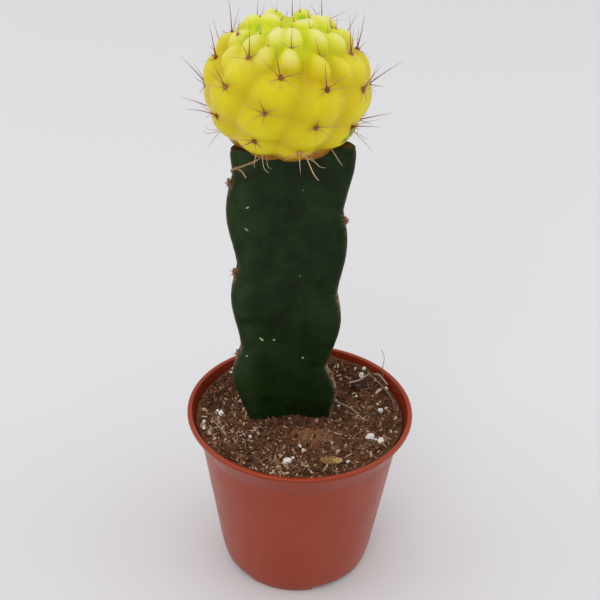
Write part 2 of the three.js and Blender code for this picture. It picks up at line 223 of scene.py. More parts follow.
class Stamp:
    """A small closed shape that is pressed many times into one mesh."""

    def __init__(self, name: str, shape: bmesh.types.BMesh) -> None:
        """Keeps the shape as a mesh, with a tint for each of its vertices.

        Args:
            name: the mesh's name.
            shape: the shape, which is used up.
        """
        paint(shape, "tint", 0.0)
        self.base = coordinates(shape)
        self.mesh = bpy.data.meshes.new(name)
        shape.to_mesh(self.mesh)
        shape.free()

    def press(self, bm: bmesh.types.BMesh, points: np.ndarray, tint: np.ndarray | float = 0.0) -> None:
        """Adds one copy of the shape to a bmesh.

        Args:
            bm: the bmesh that grows.
            points: where the copy's vertices go.
            tint: the number that the finish reads as this copy's colour.
        """
        self.mesh.vertices.foreach_set("co", np.ascontiguousarray(points, dtype=np.float32).ravel())
        tints = np.broadcast_to(np.asarray(tint, dtype=np.float32), len(points))
        self.mesh.attributes["tint"].data.foreach_set("value", np.ascontiguousarray(tints))
        bm.from_mesh(self.mesh)

    def discard(self) -> None:
        """Removes the mesh, once every copy is pressed."""
        bpy.data.meshes.remove(self.mesh)


def along(knots: np.ndarray, share: np.ndarray) -> np.ndarray:
    """Points on a smooth curve that passes through knots.

    Args:
        knots: the points that the curve passes through, one row each.
        share: how far along the curve each point lies, from 0 to 1.

    Returns:
        The points, one row each.
    """
    padded = np.vstack([2 * knots[0] - knots[1], knots, 2 * knots[-1] - knots[-2]])
    place = np.clip(share, 0.0, 1.0) * (len(knots) - 1)
    first = np.minimum(place.astype(int), len(knots) - 2)
    t = (place - first)[:, None]
    before, here, after, beyond = (padded[first + shift] for shift in range(4))
    bow = (2 * before - 5 * here + 4 * after - beyond) * t**2
    bow = bow + (3 * here - before - 3 * after + beyond) * t**3
    return here + 0.5 * ((after - before) * t + bow)


def bend(
    bm: bmesh.types.BMesh,
    stamp: Stamp,
    knots: np.ndarray,
    radii: tuple[float, float],
    tint: float,
    flat: float = 1.0,
    lumps: float = 0.0,
) -> None:
    """Presses a standing rod along a smooth curve.

    Args:
        bm: the bmesh that grows.
        stamp: the rod.
        knots: the points that the curve passes through.
        radii: the radius at the curve's start and at its end.
        tint: the colour that the finish reads, which rises a little along the rod.
        flat: the rod's thickness sideways, as a share of its height.
        lumps: how uneven its girth is.
    """
    base = stamp.base
    share = base[:, 2]
    line = along(knots, share)
    ahead = unit(along(knots, share + 0.01) - along(knots, share - 0.01))
    side = unit(np.cross(ahead, SKEW))
    over = np.cross(ahead, side)
    girth = radii[0] * (1.0 - share) + radii[1] * share
    girth *= 1.0 + lumps * drift(line, 1.1 * MM, 4.0)
    points = line + (side * base[:, :1] * flat + over * base[:, 1:2]) * girth[:, None]
    stamp.press(bm, points, tint + 0.25 * share)


# ---- Finishes ------------------------------------------------------------------------------------


class Board:
    """A material's node tree, built one node at a time."""

    def __init__(self, name: str) -> None:
        """Starts a material that holds one Principled shader.

        Args:
            name: the material's name.
        """
        self.material = bpy.data.materials.new(name)
        self.material.use_nodes = True
        self.tree = self.material.node_tree
        self.tree.nodes.clear()
        self.shader = self.add("ShaderNodeBsdfPrincipled")
        output = self.add("ShaderNodeOutputMaterial")
        self.join(self.shader.outputs["BSDF"], output.inputs["Surface"])
        self.place = self.add("ShaderNodeTexCoord").outputs["Object"]

    def add(self, kind: str, **settings: object) -> Node:
        """Adds a node and sets its own settings."""
        node = self.tree.nodes.new(kind)
        for name, value in settings.items():
            setattr(node, name, value)
        return node

    def join(self, source: Socket, target: Socket) -> None:
        """Links an output to an input."""
        self.tree.links.new(source, target)

    def feed(self, name: str, source: Socket) -> None:
        """Links an output to one of the shader's inputs."""
        self.join(source, self.shader.inputs[name])

    def set(self, **values: object) -> None:
        """Sets constants on the shader's own sockets, named with underscores for spaces."""
        for name, value in values.items():
            self.shader.inputs[name.replace("_", " ")].default_value = value

    def grain(self, size: float, detail: float = 3.0, roughness: float = 0.55, warp: float = 0.0) -> Socket:
        """Noise on Object coordinates.

        Args:
            size: the size of its lumps.
            detail: the number of finer octaves.
            roughness: how strong the finer octaves are.
            warp: how far the noise is distorted.

        Returns:
            The noise's value.
        """
        node = self.add("ShaderNodeTexNoise")
        self.join(self.place, node.inputs["Vector"])
        node.inputs["Scale"].default_value = 1.0 / size
        node.inputs["Detail"].default_value = detail
        node.inputs["Roughness"].default_value = roughness
        node.inputs["Distortion"].default_value = warp
        return node.outputs["Fac"]

    def cells(self, size: float) -> Socket:
        """The distance in Voronoi cells of a size on Object coordinates."""
        node = self.add("ShaderNodeTexVoronoi")
        self.join(self.place, node.inputs["Vector"])
        node.inputs["Scale"].default_value = 1.0 / size
        return node.outputs["Distance"]

    def painted(self, name: str) -> Socket:
        """A number that was painted on the mesh's vertices."""
        return self.add("ShaderNodeAttribute", attribute_name=name).outputs["Fac"]

    def height(self) -> Socket:
        """The height above the surface the pot stands on."""
        node = self.add("ShaderNodeSeparateXYZ")
        self.join(self.place, node.inputs["Vector"])
        return node.outputs["Z"]

    def span(
        self, value: Socket, low: float, high: float, to_low: float = 0.0, to_high: float = 1.0
    ) -> Socket:
        """A value taken smoothly from one range to another.

        Args:
            value: the value.
            low: the value that becomes to_low.
            high: the value that becomes to_high.
            to_low: the result's low end.
            to_high: the result's high end.

        Returns:
            The result.
        """
        node = self.add("ShaderNodeMapRange", interpolation_type="SMOOTHSTEP")
        self.join(value, node.inputs["Value"])
        for name, number in zip(("From Min", "From Max", "To Min", "To Max"), (low, high, to_low, to_high)):
            node.inputs[name].default_value = number
        return node.outputs["Result"]

    def times(self, first: Socket, second: Socket | float) -> Socket:
        """The product of two values."""
        node = self.add("ShaderNodeMath", operation="MULTIPLY")
        self.join(first, node.inputs[0])
        if isinstance(second, float):
            node.inputs[1].default_value = second
        else:
            self.join(second, node.inputs[1])
        return node.outputs["Value"]

    def plus(self, first: Socket, second: Socket) -> Socket:
        """The sum of two values."""
        node = self.add("ShaderNodeMath", operation="ADD")
        self.join(first, node.inputs[0])
        self.join(second, node.inputs[1])
        return node.outputs["Value"]

    def ramp(self, value: Socket, stops: Sequence[tuple[float, Colour]]) -> Socket:
        """A colour ramp over a value.

        Args:
            value: the value.
            stops: the place and colour of each stop.

        Returns:
            The colour.
        """
        node = self.add("ShaderNodeValToRGB")
        self.join(value, node.inputs["Fac"])
        elements = node.color_ramp.elements
        while len(elements) < len(stops):
            elements.new(0.5)
        for element, (at, colour) in zip(elements, stops):
            element.position = at
            element.color = (*colour, 1.0)
        return node.outputs["Color"]

    def blend(self, share: Socket, first: Socket | Colour, second: Socket | Colour) -> Socket:
        """Two colours mixed by a share.

        Args:
            share: 0 gives the first colour, 1 the second.
            first: a colour or a colour output.
            second: a colour or a colour output.

        Returns:
            The mixed colour.
        """
        node = self.add("ShaderNodeMix", data_type="RGBA", clamp_factor=True)
        self.join(share, node.inputs["Factor"])
        for name, colour in (("A", first), ("B", second)):
            socket = next(s for s in node.inputs if s.name == name and s.type == "RGBA")
            if isinstance(colour, tuple):
                socket.default_value = (*colour, 1.0)
            else:
                self.join(colour, socket)
        return next(s for s in node.outputs if s.type == "RGBA")

    def relief(self, height: Socket, depth: float, strength: float = 1.0) -> None:
        """Gives the surface a fine relief.

        Args:
            height: the relief's height, from 0 to 1.
            depth: its real depth.
            strength: the share of it that shows.
        """
        node = self.add("ShaderNodeBump")
        node.inputs["Strength"].default_value = strength
        node.inputs["Distance"].default_value = depth
        self.join(height, node.inputs["Height"])
        self.feed("Normal", node.outputs["Normal"])


@dataclass(frozen=True)
class PotPlastic:
    """Satin terracotta-coloured plastic, painted a little brighter along the thin lip as a highlight of light
    shining through it.
    """

    slot: str = "pot_plastic"
    base: Colour = (0.292, 0.034, 0.009)
    faded: Colour = (0.318, 0.043, 0.014)
    # Painted highlight: the lip's brighter colour stands in for light shining through the thin rim.
    lip: Colour = (0.345, 0.043, 0.010)
    # Painted shade: the collar is darker and redder to offset its stronger reflection.
    collar: Colour = (0.268, 0.022, 0.000)
    # Painted shade: the inside of the wall above the collar's foot is darker, as shade inside the pot.
    inner: Colour = (0.150, 0.014, 0.004)
    lip_height: float = 68.5 * MM

    def material(self) -> bpy.types.Material:
        """Builds the material."""
        board = Board("pot_plastic")
        board.set(Specular_IOR_Level=0.34)
        tone = board.blend(board.span(board.grain(22 * MM, 4.0), 0.35, 0.75), self.base, self.faded)
        # Painted highlight mask: the top millimetre below the rim.
        lip_highlight_mask = board.span(board.height(), self.lip_height - 0.9 * MM, self.lip_height - 0.1 * MM)
        # Painted shade over the collar, which would otherwise reflect more than the body.
        tone = board.blend(board.painted("collar"), tone, self.collar)
        tone = board.blend(lip_highlight_mask, tone, self.lip)
        # Painted shade on the inner wall.
        board.feed("Base Color", board.blend(board.painted("inner"), tone, self.inner))
        board.feed("Roughness", board.span(board.grain(6 * MM, 3.0), 0.3, 0.75, 0.31, 0.39))
        board.relief(board.grain(4 * MM, 2.0), 0.03 * MM, 0.3)
        return board.material


@dataclass(frozen=True)
class PeatCrumb:
    """Crumbly peat, coloured crumb by crumb from near black to tan."""

    slot: str = "peat"
    name: str = "peat"
    black: Colour = (0.030, 0.014, 0.008)
    brown: Colour = (0.145, 0.060, 0.029)
    rust: Colour = (0.310, 0.140, 0.068)
    tan: Colour = (0.640, 0.460, 0.300)

    def material(self) -> bpy.types.Material:
        """Builds the material."""
        board = Board(self.name)
        board.set(Roughness=0.92, Specular_IOR_Level=0.2)
        value = board.plus(board.painted("tint"), board.times(board.grain(0.9 * MM, 4.0), 0.36))
        stops = [(0.10, self.black), (0.42, self.brown), (0.76, self.rust), (1.0, self.tan)]
        board.feed("Base Color", board.ramp(value, stops))
        board.relief(board.grain(0.45 * MM, 5.0, 0.7), 0.25 * MM, 0.8)
        return board.material


@dataclass(frozen=True)
class Perlite:
    """White expanded perlite, pitted, with dust in its pits."""

    slot: str = "perlite_white"
    white: Colour = (0.90, 0.87, 0.82)
    dusty: Colour = (0.60, 0.50, 0.40)

    def material(self) -> bpy.types.Material:
        """Builds the material."""
        board = Board("perlite")
        board.set(
            Roughness=0.85,
            Subsurface_Weight=0.15,
            Subsurface_Radius=(0.6, 0.5, 0.45),
            Subsurface_Scale=MM,
        )
        dust = board.span(board.grain(0.8 * MM, 4.0), 0.52, 0.78)
        board.feed("Base Color", board.blend(dust, self.white, self.dusty))
        board.relief(board.cells(0.4 * MM), 0.2 * MM, 0.7)
        return board.material


@dataclass(frozen=True)
class StockSkin:
    """Very dark green waxy skin, with corky margins and a dried tan cut."""

    slot: str = "stock_skin"
    deep: Colour = (0.0046, 0.0135, 0.0018)
    green: Colour = (0.0105, 0.0285, 0.0046)
    bloom: Colour = (0.0230, 0.0430, 0.0160)
    # Painted highlight: a lighter strip along the front-left wing's flank, where more light falls.
    flank: Colour = (0.0260, 0.0500, 0.0165)
    cork: Colour = (0.300, 0.190, 0.110)
    cut: Colour = (0.150, 0.080, 0.030)
    cut_dark: Colour = (0.028, 0.030, 0.012)

    def material(self) -> bpy.types.Material:
        """Builds the material."""
        board = Board("stock_skin")
        board.set(Specular_IOR_Level=0.14)
        clouds = board.span(board.grain(13 * MM, 4.0, 0.6, 0.6), 0.32, 0.68)
        mottle = board.blend(clouds, self.deep, self.green)
        flecks = board.span(board.grain(1.5 * MM, 3.0), 0.60, 0.74, 0.0, 0.40)
        skin = board.blend(flecks, mottle, self.bloom)
        # Painted highlight along the flank, broken up by noise.
        lit = board.painted("flank")
        lit = board.times(lit, board.span(board.grain(7 * MM, 3.0), 0.35, 0.65, 0.10, 0.70))
        skin = board.blend(lit, skin, self.flank)
        rough_edge = board.times(board.painted("cork"), board.span(board.grain(1.6 * MM, 4.0), 0.34, 0.58))
        skin = board.blend(rough_edge, skin, self.cork)
        tissue = board.blend(board.span(board.grain(1.8 * MM, 5.0), 0.35, 0.65), self.cut, self.cut_dark)
        board.feed("Base Color", board.blend(board.painted("cut"), skin, tissue))
        board.feed("Roughness", board.span(board.grain(5 * MM, 4.0), 0.3, 0.7, 0.38, 0.56))
        waxy = board.plus(board.grain(0.7 * MM, 4.0), board.times(board.grain(5 * MM), 2.0))
        board.relief(waxy, 0.08 * MM, 0.7)
        return board.material


@dataclass(frozen=True)
class HeadSkin:
    """Translucent yellow flesh: golden below, lime at the crown, green in some young valleys."""

    slot: str = "head_skin"
    golden: Colour = (0.690, 0.545, 0.003)
    lemon: Colour = (0.755, 0.655, 0.008)
    # Painted shade: amber that darkens the valleys between the grown tubercles.
    valley_shade: Colour = (0.590, 0.425, 0.002)
    pale: Colour = (0.800, 0.790, 0.260)
    lime: Colour = (0.760, 0.760, 0.070)
    valley: Colour = (0.640, 0.690, 0.012)
    green: Colour = (0.360, 0.560, 0.012)
    blotch: Colour = (0.330, 0.410, 0.004)
    bruise: Colour = (0.110, 0.125, 0.004)
    # Dry tissue and painted shade together: the red-brown of the head's underside.
    seam_dry_and_shade: Colour = (0.330, 0.130, 0.008)

    def material(self) -> bpy.types.Material:
        """Builds the material."""
        board = Board("head_skin")
        board.set(
            Specular_IOR_Level=0.22,
            Subsurface_Weight=0.40,
            Subsurface_Radius=(2.6, 2.0, 0.5),
            Subsurface_Scale=MM,
        )
        body = board.blend(board.span(board.grain(9 * MM, 3.0), 0.3, 0.7), self.golden, self.lemon)
        # Painted shade in the valleys, by their depth between the tubercles.
        body = board.blend(board.times(board.painted("valley"), 0.60), body, self.valley_shade)
        crown = board.blend(board.span(board.painted("valley"), 0.02, 0.55), self.pale, self.lime)
        crown = board.blend(board.span(board.painted("valley"), 0.40, 1.0), crown, self.valley)
        skin = board.blend(board.painted("young"), body, crown)
        skin = board.blend(board.span(board.painted("green"), 0.15, 0.95), skin, self.green)
        # Underside colour: part dry tissue, part painted shade, broken up by noise.
        dried = board.plus(board.painted("seam_dry_and_shade"), board.times(board.grain(1.6 * MM, 4.0), 0.4))
        skin = board.blend(board.span(dried, 0.45, 1.25), skin, self.seam_dry_and_shade)
        edge = board.plus(board.painted("blotch"), board.times(board.grain(2 * MM, 4.0), 0.5))
        skin = board.blend(board.span(edge, 0.62, 0.95), skin, self.blotch)
        board.feed("Base Color", board.blend(board.span(edge, 1.06, 1.24), skin, self.bruise))
        board.feed("Roughness", board.span(board.grain(2.2 * MM, 4.0), 0.3, 0.7, 0.36, 0.52))
        board.relief(board.plus(board.cells(0.55 * MM), board.grain(1.8 * MM)), 0.06 * MM, 0.6)
        return board.material


@dataclass(frozen=True)
class SpineHorn:
    """Horny spines, from red-brown at the foot to grey at the point."""

    slot: str = "spine_horn"
    foot: Colour = (0.300, 0.070, 0.018)
    shaft: Colour = (0.330, 0.130, 0.065)
    point: Colour = (0.300, 0.215, 0.200)

    def material(self) -> bpy.types.Material:
        """Builds the material."""
        board = Board("spine_horn")
        board.set(Specular_IOR_Level=0.4)
        value = board.plus(board.painted("tint"), board.times(board.grain(1.4 * MM), 0.2))
        stops = [(0.12, self.foot), (0.50, self.shaft), (1.0, self.point)]
        board.feed("Base Color", board.ramp(value, stops))
        board.feed("Roughness", board.span(board.grain(0.8 * MM), 0.3, 0.7, 0.40, 0.60))
        return board.material


@dataclass(frozen=True)
class Wool:
    """Felted wool of an areole."""

    slot: str = "spine_horn"
    dark: Colour = (0.190, 0.045, 0.010)
    light: Colour = (0.620, 0.270, 0.070)

    def material(self) -> bpy.types.Material:
        """Builds the material."""
        board = Board("areole_wool")
        board.set(Roughness=0.95, Specular_IOR_Level=0.2, Sheen_Weight=0.2, Sheen_Roughness=0.5)
        value = board.plus(board.painted("tint"), board.times(board.grain(0.35 * MM, 4.0), 0.9))
        board.feed("Base Color", board.blend(board.span(value, 0.35, 1.0), self.dark, self.light))
        board.relief(board.grain(0.2 * MM, 4.0), 0.15 * MM, 0.9)
        return board.material


@dataclass(frozen=True)
class DryPlant:
    """Dry plant matter, such as bark, husk, roots and scars, streaked along its own grain."""

    slot: str
    name: str
    dark: Colour
    light: Colour
    roughness: float = 0.85

    def material(self) -> bpy.types.Material:
        """Builds the material."""
        board = Board(self.name)
        board.set(Roughness=self.roughness, Specular_IOR_Level=0.3)
        value = board.plus(board.painted("tint"), board.times(board.grain(0.7 * MM, 5.0, 0.6, 0.5), 0.8))
        board.feed("Base Color", board.blend(board.span(value, 0.25, 0.95), self.dark, self.light))
        board.relief(board.grain(0.35 * MM, 5.0, 0.65), 0.2 * MM, 0.8)
        return board.material


class Dry(Enum):
    """The dry plant finishes by what they cover."""

    SPINE = DryPlant("cork", "dry_spine", (0.330, 0.150, 0.060), (0.680, 0.470, 0.280), 0.6)
    TUFT = DryPlant("cork", "dry_tuft", (0.170, 0.070, 0.032), (0.480, 0.260, 0.150))
    STRIP = DryPlant("cork", "dry_strip", (0.140, 0.085, 0.045), (0.440, 0.270, 0.150))
    SCAR = DryPlant("cork", "pale_scar", (0.160, 0.150, 0.080), (0.560, 0.500, 0.360))
    ROOT = DryPlant("cork", "dry_root", (0.130, 0.080, 0.055), (0.420, 0.300, 0.220))
    FIBRE = DryPlant("cork", "root_hairs", (0.100, 0.050, 0.030), (0.400, 0.260, 0.160))
    BARK = DryPlant("bark_brown", "dark_bark", (0.022, 0.011, 0.008), (0.130, 0.062, 0.038))
    HUSK = DryPlant("bark_brown", "tan_husk", (0.220, 0.115, 0.030), (0.640, 0.440, 0.180))


def add_piece(
    name: str, bm: bmesh.types.BMesh, finish: object, nodes: Iterable[str] = (), smooth: bool = True
) -> bpy.types.Object:
    """Turns a bmesh into a finished piece that rides on the plant's one body.

    Args:
        name: the piece's name.
        bm: its shape at its place in the frame, which is used up.
        finish: a finish with a slot and a material method.
        nodes: the CAD nodes that the piece stands for.
        smooth: whether its faces are shaded as one curved skin.

    Returns:
        The piece.
    """
    bmesh.ops.recalc_face_normals(bm, faces=bm.faces)
    mesh = bpy.data.meshes.new(name)
    bm.to_mesh(mesh)
    bm.free()
    if smooth:
        mesh.shade_smooth()
    mesh.materials.append(finish.material())
    piece = bpy.data.objects.new(name, mesh)
    bpy.context.scene.collection.objects.link(piece)
    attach(piece, BODY)
    if nodes:
        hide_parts(*nodes)
    LOG.info("%s: %d faces", name, len(mesh.polygons))
    return piece


# ---- Studio --------------------------------------------------------------------------------------


@dataclass(frozen=True)
class Lamp:
    """One square soft light: where it hangs, what it faces, its side's length and its power in watts."""

    name: str
    place: tuple[float, float, float]
    target: tuple[float, float, float]
    size: float
    power: float


@dataclass
class Studio:
    """The camera, the floor and the soft lights round the plant."""

    lens: float = 84.0
    sensor: float = 36.0
    eye: tuple[float, float, float] = (-0.00115, -0.4242, 0.3887)
    pitch: float = 32.65
    roll: float = 1.65
    floor_size: float = 8.0
    floor_colour: Colour = (0.800, 0.788, 0.800)
    world_colour: Colour = (0.98, 0.99, 1.0)
    world_strength: float = 0.72
    lamps: tuple[Lamp, ...] = (
        Lamp("top_light", (-0.30, 0.00, 1.60), (0.0, 0.0, 0.0), 1.40, 3.2),
        Lamp("front_light", (-0.60, -2.00, 1.90), (0.0, 0.0, 0.0), 1.20, 10.0),
        Lamp("left_light", (-1.05, 0.00, 0.45), (0.0, 0.0, 0.08), 0.90, 1.5),
        Lamp("right_light", (1.05, 0.00, 0.45), (0.0, 0.0, 0.08), 0.90, 2.0),
    )

    def build(self) -> None:
        """Sets up the camera first, then the floor and the lights."""
        self.add_camera()
        self.add_floor()
        self.add_world()
        for lamp in self.lamps:
            self.add_lamp(lamp)
        bpy.context.scene.view_settings.view_transform = "Standard"

    def add_camera(self) -> None:
        """Adds the camera, which looks down on the plant from the front."""
        camera = bpy.data.objects.new("camera", bpy.data.cameras.new("camera"))
        camera.data.lens = self.lens
        camera.data.sensor_width = self.sensor
        camera.data.clip_start = 0.01
        tilt = Matrix.Rotation(math.radians(90.0 - self.pitch), 4, "X")
        lean = Matrix.Rotation(math.radians(self.roll), 4, "Z")
        camera.matrix_world = Matrix.Translation(self.eye) @ tilt @ lean
        bpy.context.scene.collection.objects.link(camera)
        bpy.context.scene.camera = camera

    def add_floor(self) -> None:
        """Adds the pale floor."""
        bm = bmesh.new()
        bmesh.ops.create_grid(bm, x_segments=1, y_segments=1, size=self.floor_size / 2)
        mesh = bpy.data.meshes.new("floor")
        bm.to_mesh(mesh)
        bm.free()
        board = Board("floor")
        board.set(Roughness=0.7, Specular_IOR_Level=0.2)
        tone = tuple(0.985 * channel for channel in self.floor_colour)
        board.feed("Base Color", board.blend(board.grain(0.35, 2.0), self.floor_colour, tone))
        mesh.materials.append(board.material)
        floor = bpy.data.objects.new("floor", mesh)
        bpy.context.scene.collection.objects.link(floor)

    def add_world(self) -> None:
        """Lights the scene evenly from all round."""
        world = bpy.data.worlds.new("studio")
        world.use_nodes = True
        backdrop = world.node_tree.nodes["Background"]
        backdrop.inputs["Color"].default_value = (*self.world_colour, 1.0)
        backdrop.inputs["Strength"].default_value = self.world_strength
        bpy.context.scene.world = world

    def add_lamp(self, lamp: Lamp) -> None:
        """Adds one of the lamps.

        Args:
            lamp: the lamp.
        """
        light = bpy.data.lights.new(lamp.name, "AREA")
        light.shape = "SQUARE"
        light.size = lamp.size
        light.energy = lamp.power
        holder = bpy.data.objects.new(lamp.name, light)
        aim = (Vector(lamp.target) - Vector(lamp.place)).to_track_quat("-Z", "Y")
        holder.matrix_world = Matrix.Translation(lamp.place) @ aim.to_matrix().to_4x4()
        bpy.context.scene.collection.objects.link(holder)


# ---- Pot -----------------------------------------------------------------------------------------


@dataclass
class NurseryPot:
    """The tapered pot with its collar, lip, foot ring, notches and drain holes."""

    rim_radius: float = 42.5 * MM
    height: float = 68.5 * MM
    wall: float = 1.2 * MM
    collar_foot: float = 58.5 * MM
    collar_radius: float = 38.0 * MM
    body_radius: float = 37.5 * MM
    heel_radius: float = 29.8 * MM
    heel_height: float = 8.5 * MM
    foot_radius: float = 27.0 * MM
    foot_width: float = 1.7 * MM
    floor: float = 2.7 * MM
    notch_height: float = 2.2 * MM
    notch_first: float = 33.0
    notch_half_angle: float = 18.4
    drain_radius: float = 3.0 * MM
    drain_circle: float = 20.5 * MM
    centre_drain: float = 3.5 * MM
    steps: int = 240

    def profile(self) -> list[tuple[float, float]]:
        """The closed outline of the pot's wall, from the centre drain out, up and back down."""
        top = self.floor + self.wall
        inner = self.foot_radius - self.foot_width
        corners = [
            (self.centre_drain, self.floor, 0.0),
            (inner, self.floor, 0.3 * MM),
            (inner, 0.0, 0.4 * MM),
            (self.foot_radius, 0.0, 0.6 * MM),
            (self.foot_radius + 1.55 * MM, 3.2 * MM, 1.6 * MM),
            (self.heel_radius, self.heel_height, 3.0 * MM),
            (self.body_radius, self.collar_foot - 0.7 * MM, 0.25 * MM),
            (self.collar_radius, self.collar_foot, 0.4 * MM),
            (self.rim_radius - 0.45 * MM, self.height - 1.7 * MM, 0.3 * MM),
            (self.rim_radius, self.height - 1.4 * MM, 0.3 * MM),
            (self.rim_radius, self.height, 0.6 * MM),
            (self.rim_radius - self.wall - 0.4 * MM, self.height, 0.5 * MM),
            (self.collar_radius - self.wall, self.collar_foot + 0.4 * MM, 0.8 * MM),
            (self.body_radius - self.wall, self.collar_foot - 0.6 * MM, 0.8 * MM),
            (self.heel_radius - self.wall, self.heel_height, 3.0 * MM),
            (inner - 0.2 * MM, top, 1.5 * MM),
            (self.centre_drain, top, 0.0),
        ]
        return filleted(corners)

    def cut_notches(self, bm: bmesh.types.BMesh) -> None:
        """Lifts the foot ring where the drainage notches pass through it."""
        points = coordinates(bm)
        azimuth = azimuths(points)
        offset = np.abs((azimuth - self.notch_first + 45.0) % 90.0 - 45.0)
        inside = (offset < self.notch_half_angle) & (points[:, 2] < self.notch_height)
        points[inside, 2] = self.notch_height
        move_to(bm, points)

    def drain_plugs(self) -> bpy.types.Object:
        """The plugs that the drain holes take out of the pot's floor, as one hidden object."""
        bm = bmesh.new()
        for index in range(4):
            at = heading(self.notch_first + 90.0 * index) * self.drain_circle
            spot = Matrix.Translation((at[0], at[1], self.floor + self.wall / 2))
            bmesh.ops.create_cone(
                bm,
                cap_ends=True,
                segments=40,
                radius1=self.drain_radius,
                radius2=self.drain_radius,
                depth=self.wall * 3,
                matrix=spot,
            )
        mesh = bpy.data.meshes.new("drain_plugs")
        bm.to_mesh(mesh)
        bm.free()
        plugs = bpy.data.objects.new("drain_plugs", mesh)
        bpy.context.scene.collection.objects.link(plugs)
        return plugs

    def build(self) -> None:
        """Makes the pot and drills its drain holes."""
        bm = turned(self.profile(), self.steps, closed=True)
        self.cut_notches(bm)
        bmesh.ops.dissolve_degenerate(bm, dist=0.01 * MM, edges=bm.edges)
        points = coordinates(bm)
        slope = (self.rim_radius - self.collar_radius) / (self.height - self.collar_foot)
        outside = self.collar_radius + slope * (points[:, 2] - self.collar_foot)
        # The inner wall above the collar's foot gets painted shade in the finish.
        depth = outside - np.hypot(points[:, 0], points[:, 1])
        shaded = smoothstep(depth, 0.8 * MM, 1.2 * MM)
        shaded = shaded * smoothstep(self.height - points[:, 2], 0.1 * MM, 0.9 * MM)
        paint(bm, "inner", np.where(points[:, 2] > self.collar_foot - 2 * MM, shaded, 0.0))
        # Marks the collar and everything above its foot for the painted shade in the finish.
        above = points[:, 2] - self.collar_foot
        paint(bm, "collar", smoothstep(above, -0.3 * MM, 0.1 * MM))
        piece = add_piece("nursery_pot", bm, PotPlastic(), ["pot"])
        plugs = self.drain_plugs()
        cut = piece.modifiers.new("drain_holes", "BOOLEAN")
        cut.operation = "DIFFERENCE"
        cut.solver = "EXACT"
        cut.object = plugs
        shaped = bpy.data.meshes.new_from_object(piece.evaluated_get(bpy.context.evaluated_depsgraph_get()))
        piece.modifiers.clear()
        piece.data = shaped
        bpy.data.objects.remove(plugs)


# ---- Rootstock -----------------------------------------------------------------------------------


@dataclass(frozen=True)
class Wing:
    """One wing of the stock: its azimuth, and each node's height, radius and the swell above it."""

    azimuth: float
    heights: tuple[float, ...]
    radii: tuple[float, ...]
    swells: tuple[float, ...]

    def tip(self, z: np.ndarray) -> np.ndarray:
        """The margin's radius at heights, swelling most a little below each node.

        Args:
            z: the heights.

        Returns:
            The radii.
        """
        heights, radii, swells = (np.array(row) * MM for row in (self.heights, self.radii, self.swells))
        upper = np.clip(np.searchsorted(heights, z, side="right"), 1, len(heights) - 1)
        t = np.clip((z - heights[upper - 1]) / (heights[upper] - heights[upper - 1]), 0.0, 1.0)
        swell = swells[upper - 1] * np.sin(np.pi * t**1.3) ** 1.1
        return radii[upper - 1] * (1 - t) + radii[upper] * t + swell


@dataclass(frozen=True)
class Scar:
    """One scar on the stock: where it is, its length, its slant and its paleness."""

    azimuth: float
    height: float
    length: float
    slant: float
    tint: float = 0.5


